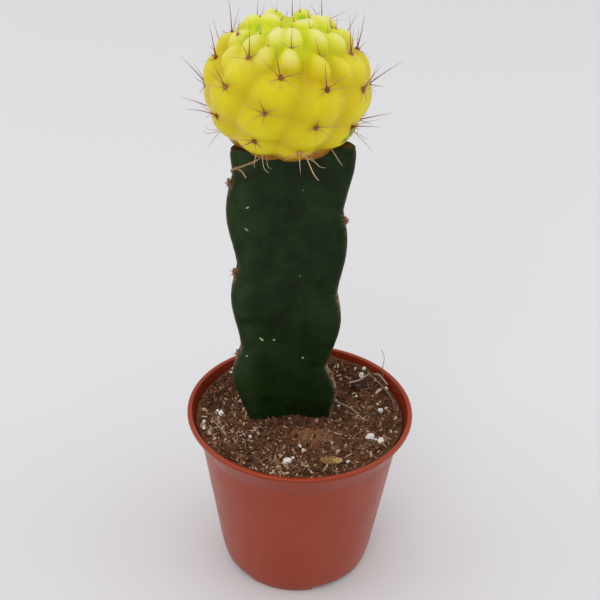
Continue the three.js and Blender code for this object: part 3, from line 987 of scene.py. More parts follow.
@dataclass
class Rootstock:
    """The cut three-winged stem, its woolly nodes and its scars."""

    foot: tuple[float, float, float] = (-3.3 * MM, 11.0 * MM, 62.0 * MM)
    top: tuple[float, float, float] = (-4.9 * MM, 3.0 * MM, 180.0 * MM)
    buried: float = 30.0 * MM
    core: float = 7.85 * MM
    edge_round: float = 0.13
    trim: float = 0.6 * MM
    corner_rises: tuple[float, ...] = (0.8 * MM, 2.6 * MM, 0.0)
    segments: int = 198
    rows: int = 230
    wings: tuple[Wing, ...] = (
        Wing(
            azimuth=-60.0,
            heights=(30, 62, 98, 134, 171, 205),
            radii=(17, 18.8, 21.4, 22.3, 23.4, 23),
            swells=(0, 4.6, 2.9, 3.1, 2.0, 0),
        ),
        Wing(
            azimuth=60.0,
            heights=(30, 62, 87, 122, 156.5, 192),
            radii=(17, 17.6, 15.3, 18.8, 20.0, 23.5),
            swells=(0, 3.4, 2.9, 2.4, 2.0, 0),
        ),
        Wing(
            azimuth=180.0,
            heights=(30, 60, 84, 115, 148, 186),
            radii=(16, 17.5, 18.2, 19.2, 20.4, 22),
            swells=(0, 2.8, 2.8, 2.8, 2.8, 0),
        ),
    )
    areoles: tuple[tuple[int, int], ...] = ((0, 4), (0, 3), (0, 2), (1, 4), (1, 2), (2, 4), (2, 3))
    areole_drop: float = 3.0 * MM
    # The cut's rings from its rim inwards: size as a share of the ring before, rise and dryness.
    cut_rings: tuple[tuple[float, float, float], ...] = (
        (0.99, 0.0, 0.1),
        (0.94, -0.1 * MM, 1.0),
        (0.85, -0.3 * MM, 1.0),
        (0.45, 0.0, 1.0),
    )
    scars: tuple[Scar, ...] = (
        Scar(-49.0, 159.0, 1.1, 20.0, 0.9),
        Scar(-50.0, 150.0, 1.9, -50.0, 0.3),
        Scar(22.0, 164.0, 0.7, 0.0, 0.1),
        Scar(-45.0, 101.0, 2.2, -50.0, 0.8),
        Scar(-34.0, 100.0, 1.0, 20.0, 0.7),
        Scar(-53.0, 94.0, 0.9, 0.0, 0.5),
        Scar(27.0, 91.0, 1.1, 70.0, 0.6),
        Scar(18.0, 128.0, 0.6, 0.0, 0.2),
        Scar(150.0, 120.0, 1.6, 30.0, 0.6),
        Scar(210.0, 96.0, 1.2, -20.0, 0.4),
        Scar(118.0, 150.0, 0.9, 60.0, 0.5),
    )
    strips: tuple[tuple[tuple[float, float], ...], ...] = (
        ((-59.5, 172.6), (-57.0, 173.8), (-52.0, 175.2), (-47.0, 176.4), (-43.0, 177.6)),
        ((-55.5, 174.2), (-53.0, 173.0), (-50.5, 170.6)),
    )

    def axis(self, z: np.ndarray) -> np.ndarray:
        """Points on the stem's centre line.

        Args:
            z: their heights.

        Returns:
            The points, one row for each height.
        """
        foot, top = np.array(self.foot), np.array(self.top)
        t = np.maximum(0.0, (z - foot[2]) / (top[2] - foot[2]))
        line = foot + t[..., None] * (top - foot)
        line[..., 2] = z
        return line

    def from_tip(self, azimuth: np.ndarray) -> tuple[np.ndarray, np.ndarray]:
        """The nearest wing at azimuths.

        Args:
            azimuth: the azimuths.

        Returns:
            Each one's wing number, and the angle from that wing's tip.
        """
        turns = np.stack([turn_between(azimuth, wing.azimuth) for wing in self.wings])
        return turns.argmin(axis=0), turns.min(axis=0)

    def radius(self, azimuth: np.ndarray, z: np.ndarray) -> np.ndarray:
        """The distance from the centre line to the skin.

        Args:
            azimuth: the azimuths.
            z: the heights.

        Returns:
            The distances.
        """
        nearest, turn = self.from_tip(azimuth)
        tips = np.stack([wing.tip(z) for wing in self.wings])
        tip = np.take_along_axis(tips, nearest[None], axis=0)[0]
        rounded = np.hypot(np.radians(turn), self.edge_round) - self.edge_round
        flank = 1.0 / np.cos(np.radians(60.0) - rounded) - 1.0
        trim = self.trim * smoothstep(z, self.top[2] - 2.4 * MM, self.top[2])
        return self.core + (tip - trim - self.core) * flank**1.12

    def surface(self, azimuth: np.ndarray, z: np.ndarray, lift: float = 0.0) -> np.ndarray:
        """Points on the skin, or lifted off it.

        Args:
            azimuth: their azimuths.
            z: their heights.
            lift: how far they stand off the skin.

        Returns:
            The points, one row each.
        """
        return self.axis(z) + heading(azimuth) * (self.radius(azimuth, z) + lift)[..., None]

    def build_stem(self) -> None:
        """Makes the stem, from its buried end to the cut."""
        bm = rod(self.segments, self.rows, 1.0)
        base = coordinates(bm)
        even = azimuths(base)
        azimuth = even + 11.0 * np.sin(np.radians(3.0 * even))
        z = self.buried + base[:, 2] * (self.top[2] - self.buried)
        blunt = 1.0 - 0.3 * smoothstep(self.buried + 10 * MM - z, 0.0, 10 * MM)
        distance = self.radius(azimuth, z) * blunt
        points = self.axis(z) + heading(azimuth) * distance[:, None]
        waves = 0.22 * MM * drift(points, 14 * MM, 1.0) + 0.06 * MM * drift(points, 3 * MM, 2.0)
        nearest, turn = self.from_tip(azimuth)
        near_tip = np.exp(-((np.radians(turn) * distance / (0.8 * MM)) ** 2))
        waves -= 0.10 * MM * near_tip * (1.0 + drift(points, 2.2 * MM, 5.0))
        points += heading(azimuth) * waves[:, None]
        move_to(bm, points)
        paint(bm, "cork", np.clip(near_tip * self.corkiness(nearest, z), 0.0, 1.0))
        # Paints the band for the painted highlight beside the front-left wing's edge.
        paint(bm, "flank", np.where(nearest == 0, np.exp(-(((turn - 7.0) / 5.0) ** 2)), 0.0))
        paint(bm, "cut", 0.3 * smoothstep(z, self.top[2] - 0.7 * MM, self.top[2] - 0.15 * MM))
        self.sink_cut(bm)
        self.lift_corners(bm)
        add_piece("rootstock_stem", bm, StockSkin(), ["rootstock"])

    def lift_corners(self, bm: bmesh.types.BMesh) -> None:
        """Lifts the cut's corners a little, each wing by its own rise."""
        points = coordinates(bm)
        offset = points - self.axis(points[:, 2])
        near_cut = smoothstep(points[:, 2], self.top[2] - 7 * MM, self.top[2] - 0.5 * MM)
        for wing, rise in zip(self.wings, self.corner_rises):
            points[:, 2] += rise * near_cut * smoothstep(offset @ heading(wing.azimuth), 10 * MM, 21 * MM)
        move_to(bm, points)

    def corkiness(self, wing_number: np.ndarray, z: np.ndarray) -> np.ndarray:
        """How corky the margins are at heights: most at the nodes, and low on the right wing.

        Args:
            wing_number: the number of the wing at each point.
            z: the points' heights.

        Returns:
            One share for each point, which may pass one.
        """
        near_node = np.zeros(len(z))
        for number, wing in enumerate(self.wings):
            gaps = np.abs(z[:, None] - np.array(wing.heights) * MM + self.areole_drop).min(axis=1)
            near_node = np.where(wing_number == number, np.exp(-((gaps / (3.6 * MM)) ** 2)), near_node)
        low_right = (wing_number == 1) * (1.0 - smoothstep(z, 84 * MM, 91 * MM)) * 0.8
        return 0.14 + near_node + low_right

    def sink_cut(self, bm: bmesh.types.BMesh) -> None:
        """Sinks the cut's dried tissue a little inside its rim."""
        bm.faces.ensure_lookup_table()
        cap = max(bm.faces, key=lambda face: face.calc_center_median().z)
        tissue = bm.verts.layers.float["cut"]
        to_centre = Matrix.Translation(-Vector(self.top))
        for share, rise, dryness in self.cut_rings:
            cap = bmesh.ops.extrude_discrete_faces(bm, faces=[cap])["faces"][0]
            bmesh.ops.scale(bm, vec=(share, share, 1.0), space=to_centre, verts=list(cap.verts))
            bmesh.ops.translate(bm, vec=(0.0, 0.0, rise), verts=list(cap.verts))
            for vertex in cap.verts:
                vertex[tissue] = dryness
        bmesh.ops.poke(bm, faces=[cap])

    def build_tufts(self, wool: "Tufts") -> None:
        """Makes the woolly node of each areole that still bears spines."""
        for number, (wing_index, node_index) in enumerate(self.areoles, start=1):
            wing = self.wings[wing_index]
            z = np.array(wing.heights[node_index] * MM - self.areole_drop)
            out = heading(wing.azimuth)
            skin = self.axis(z) + out * wing.tip(z)
            wool.stock_tuft(f"rootstock_spines_{number}", skin, out, seed=40 + number)

    def build_scars(self) -> None:
        """Makes the small pale scars on the stem's faces."""
        bm = bmesh.new()
        stamp = Stamp("scar", lump(2))
        rng = np.random.default_rng(17)
        for scar in self.scars:
            height = scar.height * MM
            at = self.surface(np.array(scar.azimuth), np.array(height))
            east = unit(self.surface(np.array(scar.azimuth + 2.0), np.array(height)) - at)
            north = unit(self.surface(np.array(scar.azimuth), np.array(height + MM)) - at)
            out = unit(np.cross(east, north))
            turn = math.radians(scar.slant)
            along = east * math.cos(turn) + north * math.sin(turn)
            across = np.cross(out, along)
            base = stamp.base * (1.0 + 0.1 * rng.standard_normal((len(stamp.base), 1)))
            size = np.array([scar.length * 0.5, 0.34, 0.15]) * MM
            points = at + base * size @ np.stack([along, across, out])
            stamp.press(bm, points, scar.tint - 0.2)
        stamp.discard()
        add_piece("rootstock_scars", bm, Dry.SCAR.value)

    def build_strips(self) -> None:
        """Makes the dried strip that lies on the skin below the cut, and its stub."""
        bm = bmesh.new()
        stamp = Stamp("strip", rod(7, 22, 1.0))
        for index, strip in enumerate(self.strips):
            azimuth, z = (np.array(column) for column in zip(*strip))
            knots = self.surface(azimuth, z * MM, lift=0.35 * MM)
            knots[-1] += heading(azimuth[-1]) * 0.5 * MM * index
            bend(bm, stamp, knots, (0.52 * MM, 0.28 * MM), 0.15, flat=0.6, lumps=0.6)
        stamp.discard()
        add_piece("dried_strip", bm, Dry.STRIP.value)

    def build(self, wool: "Tufts") -> None:
        """Makes the whole stock.

        Args:
            wool: the maker of tufts and spines.
        """
        self.build_stem()
        self.build_tufts(wool)
        self.build_scars()
        self.build_strips()


# ---- Areoles and spines --------------------------------------------------------------------------


class Growth(Enum):
    """How a head areole's spines look."""

    FRESH = "fresh"
    YOUNG = "young"
    NEWEST = "newest"
    DRY = "dry"


@dataclass(frozen=True)
class Fan:
    """One group of an areole's spines: how many, and where they point.

    Bearings run round the areole from the crown's side, and leans from straight out.
    """

    count: int
    bearings: tuple[float, float]
    leans: tuple[float, float]
    lengths: tuple[float, float]
    radius: float
    tint: float


FANS: dict[Growth, tuple[Fan, ...]] = {
    Growth.FRESH: (
        Fan(1, (-30, 15), (42, 56), (10.6, 13.0), 0.225, -0.04),
        Fan(2, (-62, 62), (56, 70), (6.4, 9.6), 0.155, 0.16),
        Fan(2, (-105, 105), (64, 78), (4.4, 6.8), 0.105, 0.48),
        Fan(1, (145, 215), (50, 70), (3.0, 5.2), 0.100, 0.50),
    ),
    Growth.YOUNG: (
        Fan(1, (-20, 20), (36, 54), (5.6, 7.4), 0.130, 0.10),
        Fan(2, (-75, 75), (56, 70), (3.4, 5.0), 0.100, 0.35),
    ),
    Growth.NEWEST: (
        Fan(1, (-30, 30), (20, 42), (3.0, 4.4), 0.090, 0.30),
        Fan(1, (60, 120), (40, 58), (2.0, 3.0), 0.075, 0.55),
    ),
    Growth.DRY: (
        Fan(1, (165, 195), (35, 60), (6.6, 8.0), 0.200, 0.10),
        Fan(2, (115, 245), (56, 78), (5.0, 7.0), 0.150, 0.20),
        Fan(2, (-60, 60), (58, 74), (3.4, 5.0), 0.130, 0.25),
    ),
}
PADS: dict[Growth, tuple[float, float]] = {
    Growth.FRESH: (1.0, 0.1),
    Growth.YOUNG: (0.62, 0.3),
    Growth.NEWEST: (0.36, 0.5),
    Growth.DRY: (1.1, 0.42),
}


@dataclass
class Tufts:
    """Makes areoles: a woolly pad with felt hairs, and curved spines that taper."""

    pad_radius: float = 0.92 * MM
    felt_hairs: int = 26
    spine: Stamp = field(init=False)
    hair: Stamp = field(init=False)
    pad: Stamp = field(init=False)

    def __post_init__(self) -> None:
        """Makes the shapes that are pressed for every areole."""
        self.spine = Stamp("spine", rod(6, 7, 1.0))
        self.hair = Stamp("felt_hair", rod(3, 1, 0.4))
        self.pad = Stamp("wool_pad", lump(3))

    def add_spine(
        self,
        bm: bmesh.types.BMesh,
        root: np.ndarray,
        aim: np.ndarray,
        sag: np.ndarray,
        length: float,
        radius: float,
        tint: float = 0.0,
    ) -> None:
        """Presses one curved spine.

        Args:
            bm: the bmesh that grows.
            root: where the spine starts.
            aim: its first direction.
            sag: how its tip bends away, as a share of its length.
            length: its length.
            radius: its radius at the root.
            tint: how far its colour is moved towards the point's.
        """
        base = self.spine.base
        along = base[:, 2:]
        side = unit(np.cross(aim, SKEW))
        over = np.cross(aim, side)
        taper = radius * (1.0 - 0.86 * along**1.1) * (1.0 + 0.45 * np.exp(-((along / 0.07) ** 2)))
        line = root + (aim * along + sag * along**2) * length
        points = line + (side * base[:, :1] + over * base[:, 1:2]) * taper
        self.spine.press(bm, points, along[:, 0] * 0.8 + tint)

    def add_pad(
        self,
        bm: bmesh.types.BMesh,
        at: np.ndarray,
        out: np.ndarray,
        radius: float,
        rng: np.random.Generator,
        tint: float = 0.1,
    ) -> None:
        """Presses one woolly pad with its felt hairs.

        Args:
            bm: the bmesh that grows.
            at: the pad's centre.
            out: the direction that it faces.
            radius: its radius.
            rng: the source of its irregularity.
            tint: how pale its wool is.
        """
        side = unit(np.cross(out, np.array([0.13, 0.35, 0.92])))
        over = np.cross(out, side)
        ball = self.pad.base * (1.0 + 0.20 * drift(self.pad.base, 0.45, rng.uniform(0, 50)))[:, None]
        oval = side * ball[:, :1] * 0.82 + over * ball[:, 1:2] * 1.12 + out * ball[:, 2:] * 0.62
        self.pad.press(bm, at + oval * radius, tint)
        for _ in range(self.felt_hairs):
            lean = rng.normal(size=3) * 0.75 + out
            aim = unit(lean)
            root = at + aim * radius * 0.55
            base = self.hair.base
            across = unit(np.cross(aim, np.array([0.5, -0.4, 0.77])))
            around = np.cross(aim, across)
            curl = across * base[:, 2:] ** 2 * 0.35
            length = radius * rng.uniform(0.4, 0.9)
            hair = root + (aim * base[:, 2:] + curl) * length
            hair = hair + (across * base[:, :1] + around * base[:, 1:2]) * 0.035 * MM
            self.hair.press(bm, hair, tint + rng.uniform(0.1, 0.5))

    def cluster(
        self,
        name: str,
        skin: np.ndarray,
        out: np.ndarray,
        up: np.ndarray,
        growth: Growth,
        seed: int,
        nodes: Iterable[str] = (),
    ) -> None:
        """Makes one head areole: a pad and the spines that stand in it.

        Args:
            name: the areole's name.
            skin: the point of the skin it sits on.
            out: the skin's outward direction.
            up: the direction along the skin towards the crown.
            growth: how its spines look.
            seed: the seed of its irregularity.
            nodes: the CAD nodes that it stands for.
        """
        rng = np.random.default_rng(seed)
        side = np.cross(up, out)
        size, paleness = PADS[growth]
        pad_radius = self.pad_radius * size * rng.uniform(0.85, 1.15)
        centre = skin + out * pad_radius * 0.22
        wool = bmesh.new()
        self.add_pad(wool, centre, out, pad_radius, rng, paleness + rng.uniform(-0.1, 0.2))
        spines = bmesh.new()
        for fan in FANS[growth]:
            for index in range(fan.count):
                share = 0.5 if fan.count == 1 else index / (fan.count - 1)
                low, high = fan.bearings
                bearing = math.radians(low + (high - low) * share + rng.uniform(-16, 16))
                lean = math.radians(rng.uniform(*fan.leans))
                flat = up * math.cos(bearing) + side * math.sin(bearing)
                aim = unit(out * math.cos(lean) + flat * math.sin(lean))
                sag = out * rng.uniform(-0.02, 0.14) + rng.normal(size=3) * 0.05
                root = centre + flat * pad_radius * 0.3
                length = rng.uniform(*fan.lengths) * MM
                tint = fan.tint + rng.uniform(-0.06, 0.16)
                self.add_spine(spines, root, aim, sag, length, fan.radius * MM, tint)
        finish = Dry.SPINE.value if growth is Growth.DRY else SpineHorn()
        add_piece(f"{name}_spines", spines, finish, nodes)
        add_piece(f"{name}_wool", wool, Wool())

    def stock_tuft(self, node: str, skin: np.ndarray, out: np.ndarray, seed: int) -> None:
        """Makes one of the stock's areoles: a ragged tuft with a few short spines.

        Args:
            node: the CAD node that it stands for.
            skin: the margin's point at the areole.
            out: the wing's direction.
            seed: the seed of its irregularity.
        """
        rng = np.random.default_rng(seed)
        bm = bmesh.new()
        for shift in (-0.8, 0.1, 0.9):
            at = skin + out * 0.3 * MM + UP * shift * MM
            at = at + rng.normal(size=3) * 0.15 * MM
            self.add_pad(bm, at, out, self.pad_radius * rng.uniform(0.6, 0.95), rng, 0.0)
        for _ in range(4):
            aim = unit(out * rng.uniform(0.4, 1.0) + rng.normal(size=3) * 0.5)
            length = rng.uniform(1.6, 2.6) * MM
            self.add_spine(bm, skin + out * 0.3 * MM, aim, rng.normal(size=3) * 0.08, length, 0.17 * MM)
        add_piece(f"{node}_tuft", bm, Dry.TUFT.value, [node])

    def discard(self) -> None:
        """Removes the pressed shapes once every areole is made."""
        for stamp in (self.spine, self.hair, self.pad):
            stamp.discard()


# ---- Head ----------------------------------------------------------------------------------------


@dataclass(frozen=True)
class Areole:
    """One areole of the head: its place and its number."""

    azimuth: float
    polar: float
    number: int


@dataclass(frozen=True)
class Tubercles:
    """Many tubercles' crests, their two axes, and their half widths and half lengths."""

    crest: np.ndarray
    east: np.ndarray
    south: np.ndarray
    half_width: np.ndarray
    half_length: np.ndarray


@dataclass
class CactusHead:
    """The grafted head: ten slanted ribs of grown tubercles, and a crown of young ones."""

    centre: tuple[float, float, float] = (-7.2 * MM, 2.5 * MM, 199.2 * MM)
    radius: float = 28.4 * MM
    half_height: float = 24.8 * MM
    valley: float = 1.75 * MM
    young_valley: float = 3.1 * MM
    newest_valley: float = 1.9 * MM
    deepest: float = 1.5
    pit: float = 0.5 * MM
    pit_radius: float = 1.7 * MM
    crown_dip: float = 1.6 * MM
    ribs: int = 10
    first_azimuth: float = -12.5
    start: float = 86.5
    step: float = 10.0
    slant: float = -0.35
    length: float = 25.0
    highest: float = 36.0
    lowest: float = 143.0
    spread: float = 5.0
    widest_azimuth: float = 10.0
    grown_from: float = 50.0
    spined_from: float = 44.0
    young_below: float = 50.0
    dry_from: float = 118.0
    over_wings_from: float = 118.0
    wing_clearance: float = 30.0
    seat_height: float = 170.0 * MM
    softness: float = 5.5
    chin_drop: float = 0.42
    young_half_width: float = 0.152
    young_half_length: float = 0.215
    crown: tuple[tuple[float, float], ...] = (
        (-62, 56), (-48, 39), (-25, 47), (2, 47), (31, 55), (53, 62), (-77, 43), (-21, 26), (8, 25),
        (49, 31), (72, 42), (81, 13), (110, 26), (100, 48), (128, 40), (150, 58), (160, 33), (-165, 52),
        (-150, 30), (-135, 58), (-123, 37), (-100, 58), (-114, 16),
    )
    green_spots: tuple[tuple[float, float], ...] = ((-60, 37), (-33, 23), (-92, 30), (140, 20), (-175, 40))
    blotch: tuple[tuple[float, float], ...] = ((50.0, 114.5), (55.0, 111.0), (60.0, 110.0), (64.0, 108.0))
    # Each dry spine's azimuth and polar angle, how far its tip lies to the right and up, and its radius.
    strays: tuple[tuple[float, float, float, float, float], ...] = (
        (-25.0, 124.0, 0.0, -4.1, 0.12),
        (-22.0, 128.0, 2.8, -5.3, 0.13),
        (-20.0, 132.0, 2.4, -3.7, 0.11),
        (21.0, 133.0, 4.0, -7.0, 0.24),
        (25.0, 133.0, 5.0, -2.9, 0.12),
        (47.0, 128.0, 3.4, -5.3, 0.15),
        (-64.0, 117.0, -3.0, -5.6, 0.15),
        (-64.0, 117.0, -4.6, 0.8, 0.16),
        (-65.0, 116.0, -3.4, 2.4, 0.13),
        (61.0, 112.0, 5.4, -6.4, 0.15),
        (61.0, 112.0, 4.2, -2.0, 0.12),
    )
    detail: int = 7
    areoles: list[Areole] = field(init=False)
    tubercles: Tubercles = field(init=False)

    def __post_init__(self) -> None:
        """Lays out the areoles rib by rib, and the tubercles."""
        self.areoles = []
        for rib in range(self.ribs):
            polar = self.highest + (self.start + self.step * rib - self.highest) % self.length
            while polar < self.lowest:
                even = self.first_azimuth + 360.0 / self.ribs * rib + self.slant * (polar - self.start)
                azimuth = even + self.spread * math.sin(math.radians(even - self.widest_azimuth))
                self.areoles.append(Areole(azimuth, polar, len(self.areoles)))
                polar += self.length
        self.tubercles = self.lay_tubercles()

    def lay_tubercles(self) -> Tubercles:
        """The grown tubercles, each below its areole, and the crown's young ones."""
        grown = [areole for areole in self.areoles if areole.polar > self.grown_from]
        drop = self.chin_drop * self.length
        azimuth = np.array([areole.azimuth + self.slant * drop for areole in grown])
        polar = np.array([areole.polar + drop for areole in grown])
        wide = math.sin(math.pi / self.ribs) * np.sin(np.radians(np.minimum(polar, 110.0)))
        long = np.full(len(grown), math.sin(math.radians(self.length / 2.0)))
        crown = np.array(self.crown, dtype=float)
        azimuth = np.concatenate([azimuth, crown[:, 0]])
        polar = np.concatenate([polar, crown[:, 1]])
        wide = np.concatenate([wide, np.full(len(crown), self.young_half_width)])
        long = np.concatenate([long, np.full(len(crown), self.young_half_length)])
        crest, south = direction(azimuth, polar), direction(azimuth, polar + 90.0)
        return Tubercles(crest, heading(azimuth + 90.0), south, wide, long)

    def axes(self) -> np.ndarray:
        """The half axes of the head's crest surface."""
        return np.array([self.radius, self.radius, self.half_height])

    def depth(self, outward: np.ndarray) -> np.ndarray:
        """How far the skin sinks between the tubercles: 0 on a crest, 1 between two.

        Args:
            outward: unit directions from the head's centre.

        Returns:
            One value for each direction.
        """
        rows = self.tubercles
        total = np.full(len(outward), math.exp(-self.softness * self.deepest))
        for index in range(len(rows.crest)):
            young = index >= len(rows.crest) - len(self.crown)
            facing = outward @ rows.crest[index]
            down = (outward @ rows.south[index]) / rows.half_length[index]
            narrowing = np.clip(1.0 + 0.26 * down, 0.72, 1.12) if young else 1.0
            side = (outward @ rows.east[index]) / (rows.half_width[index] * narrowing)
            down = down * (1.0 if young else 0.84)
            total += np.where(facing > 0.6, np.exp(-self.softness * (side**2 + down**2)), 0.0)
        return np.maximum(0.0, -np.log(total) / self.softness)

    def skin(self, outward: np.ndarray) -> tuple[np.ndarray, np.ndarray]:
        """The head's skin.

        Args:
            outward: unit directions from the head's centre.

        Returns:
            The points of the skin, and how deep each lies between the tubercles.
        """
        crests = 1.0 / np.linalg.norm(outward / self.axes(), axis=1)
        depth = self.depth(outward)
        young = smoothstep(outward[:, 2], 0.06, 0.60)
        newest = smoothstep(outward[:, 2], 0.84, 0.96)
        valley = self.valley + (self.young_valley - self.valley) * young
        valley = valley + (self.newest_valley - valley) * newest
        reach = crests - valley * depth
        reach -= self.crown_dip * smoothstep(outward[:, 2], 0.93, 1.0)
        for areole in self.areoles:
            gap = np.linalg.norm(outward - direction(areole.azimuth, areole.polar), axis=1) * self.radius
            reach -= self.pit * np.exp(-((gap / self.pit_radius) ** 2))
        reach += 0.20 * MM * drift(outward, 0.35, 3.0) + 0.05 * MM * drift(outward, 0.08, 4.0)
        return np.array(self.centre) + outward * reach[:, None], depth

    def build_flesh(self, stock: Rootstock) -> None:
        """Makes the flesh of the head, seated on the stock's cut.

        Args:
            stock: the stock that it grows on.
        """
        bm = lump(self.detail)
        outward = unit(coordinates(bm))
        points, depth = self.skin(outward)
        seat = stock.top[2] + 0.1 * MM
        offset = points - stock.axis(np.minimum(points[:, 2], stock.top[2]))
        azimuth = azimuths(offset)
        seat_edge = stock.radius(azimuth, np.full(len(points), self.seat_height))
        inside = np.hypot(offset[:, 0], offset[:, 1]) < seat_edge
        points[:, 2] = np.where(inside, np.maximum(points[:, 2], seat), points[:, 2])
        move_to(bm, points)
        polar = np.degrees(np.arccos(np.clip(outward[:, 2], -1.0, 1.0)))
        paint(bm, "valley", depth)
        paint(bm, "young", 1.0 - smoothstep(polar + 9.0 * drift(outward, 0.4, 6.0), 28.0, 70.0))
        paint(bm, "green", self.nearness(outward, self.green_spots, 2.8 * MM) * (0.25 + depth))
        paint(bm, "blotch", self.nearness(outward, self.blotch, 2.3 * MM))
        # The underside, from 115 degrees down, gets dry tissue mixed with painted shade.
        paint(bm, "seam_dry_and_shade", smoothstep(polar, 115.0, 133.0))
        add_piece("cactus_flesh", bm, HeadSkin(), ["cactus_head"])

    def nearness(self, outward: np.ndarray, spots: Sequence[tuple[float, float]], size: float) -> np.ndarray:
        """How near directions lie to the nearest of some spots of the skin.

        Args:
            outward: unit directions from the head's centre.
            spots: the azimuth and polar angle of each spot.
            size: the spots' radius.

        Returns:
            One value for each direction, 1 at a spot.
        """
        gaps = [np.linalg.norm(outward - direction(*spot), axis=1) * self.radius for spot in spots]
        return np.exp(-((np.min(gaps, axis=0) / size) ** 2))

    def clear_of_stock(self, areole: Areole, stock: Rootstock) -> bool:
        """Whether an areole's spines stand clear of the stock's wings."""
        turns = [turn_between(areole.azimuth, wing.azimuth) for wing in stock.wings]
        return areole.polar < self.over_wings_from or min(turns) > self.wing_clearance

    def frame_at(self, azimuth: float, polar: float) -> tuple[np.ndarray, np.ndarray, np.ndarray]:
        """A point of the skin, its outward direction, and the way to the crown there."""
        outward = direction(azimuth, polar)
        skin = self.skin(outward[None])[0][0]
        out = unit((skin - np.array(self.centre)) / self.axes() ** 2)
        north = direction(azimuth, polar - 90.0)
        return skin, out, unit(north - out * (north @ out))

    def build_areoles(self, stock: Rootstock, wool: Tufts) -> None:
        """Makes every areole with its spines, in the order of the CAD nodes.

        Args:
            stock: the stock, whose wings some spines would meet.
            wool: the maker of tufts and spines.
        """
        node = 0
        for areole in self.areoles:
            if not self.clear_of_stock(areole, stock):
                continue
            nodes = []
            if areole.polar >= self.spined_from:
                node += 1
                nodes = [f"head_spines_{node:02d}"]
            growth = Growth.DRY if areole.polar > self.dry_from else Growth.FRESH
            if areole.polar < self.young_below:
                growth = Growth.YOUNG
            place = self.frame_at(areole.azimuth, areole.polar)
            wool.cluster(f"areole_{areole.number:02d}", *place, growth, 100 + areole.number, nodes)

    def build_crown_areoles(self, wool: Tufts) -> None:
        """Makes the small areoles on the crown's young tubercles.

        Args:
            wool: the maker of tufts and spines.
        """
        taken = np.array([direction(areole.azimuth, areole.polar) for areole in self.areoles])
        for number, (azimuth, polar) in enumerate(self.crown, start=1):
            upper = polar - 9.0
            spot = direction(azimuth, upper)
            if upper > 40.0 or np.degrees(np.arccos(np.clip(taken @ spot, -1.0, 1.0))).min() < 10.0:
                continue
            place = self.frame_at(azimuth, upper)
            wool.cluster(f"crown_areole_{number:02d}", *place, Growth.NEWEST, 300 + number)

    def build_strays(self) -> None:
        """Makes the dry spines that hang from the head's underside, and those at its two sides."""
        bm = bmesh.new()
        stamp = Stamp("stray", rod(6, 14, 1.0))
        for azimuth, polar, right, rise, radius in self.strays:
            root, out, _ = self.frame_at(azimuth, polar)
            tip = root + out * 1.2 * MM + np.array([right, 0.4, rise]) * MM
            middle = (root + tip) / 2 + out * 1.3 * MM
            knots = np.array([root - out * 0.5 * MM, middle, tip])
            bend(bm, stamp, knots, (radius * MM, radius * 0.45 * MM), 0.35)
        stamp.discard()
        add_piece("stray_spines", bm, Dry.SPINE.value)

    def build(self, stock: Rootstock, wool: Tufts) -> None:
        """Makes the whole head.

        Args:
            stock: the stock that it grows on.
            wool: the maker of tufts and spines.
        """
        self.build_flesh(stock)
        self.build_areoles(stock, wool)
        self.build_crown_areoles(wool)
        self.build_strays()


# ---- Potting mix ---------------------------------------------------------------------------------


@dataclass(frozen=True)
class Root:
    """One root or twig on the mix: its knots, its radii at both ends and its finish."""

    name: str
    knots: tuple[tuple[float, float, float], ...]
    radii: tuple[float, float]
    finish: Dry
    tint: float = 0.3


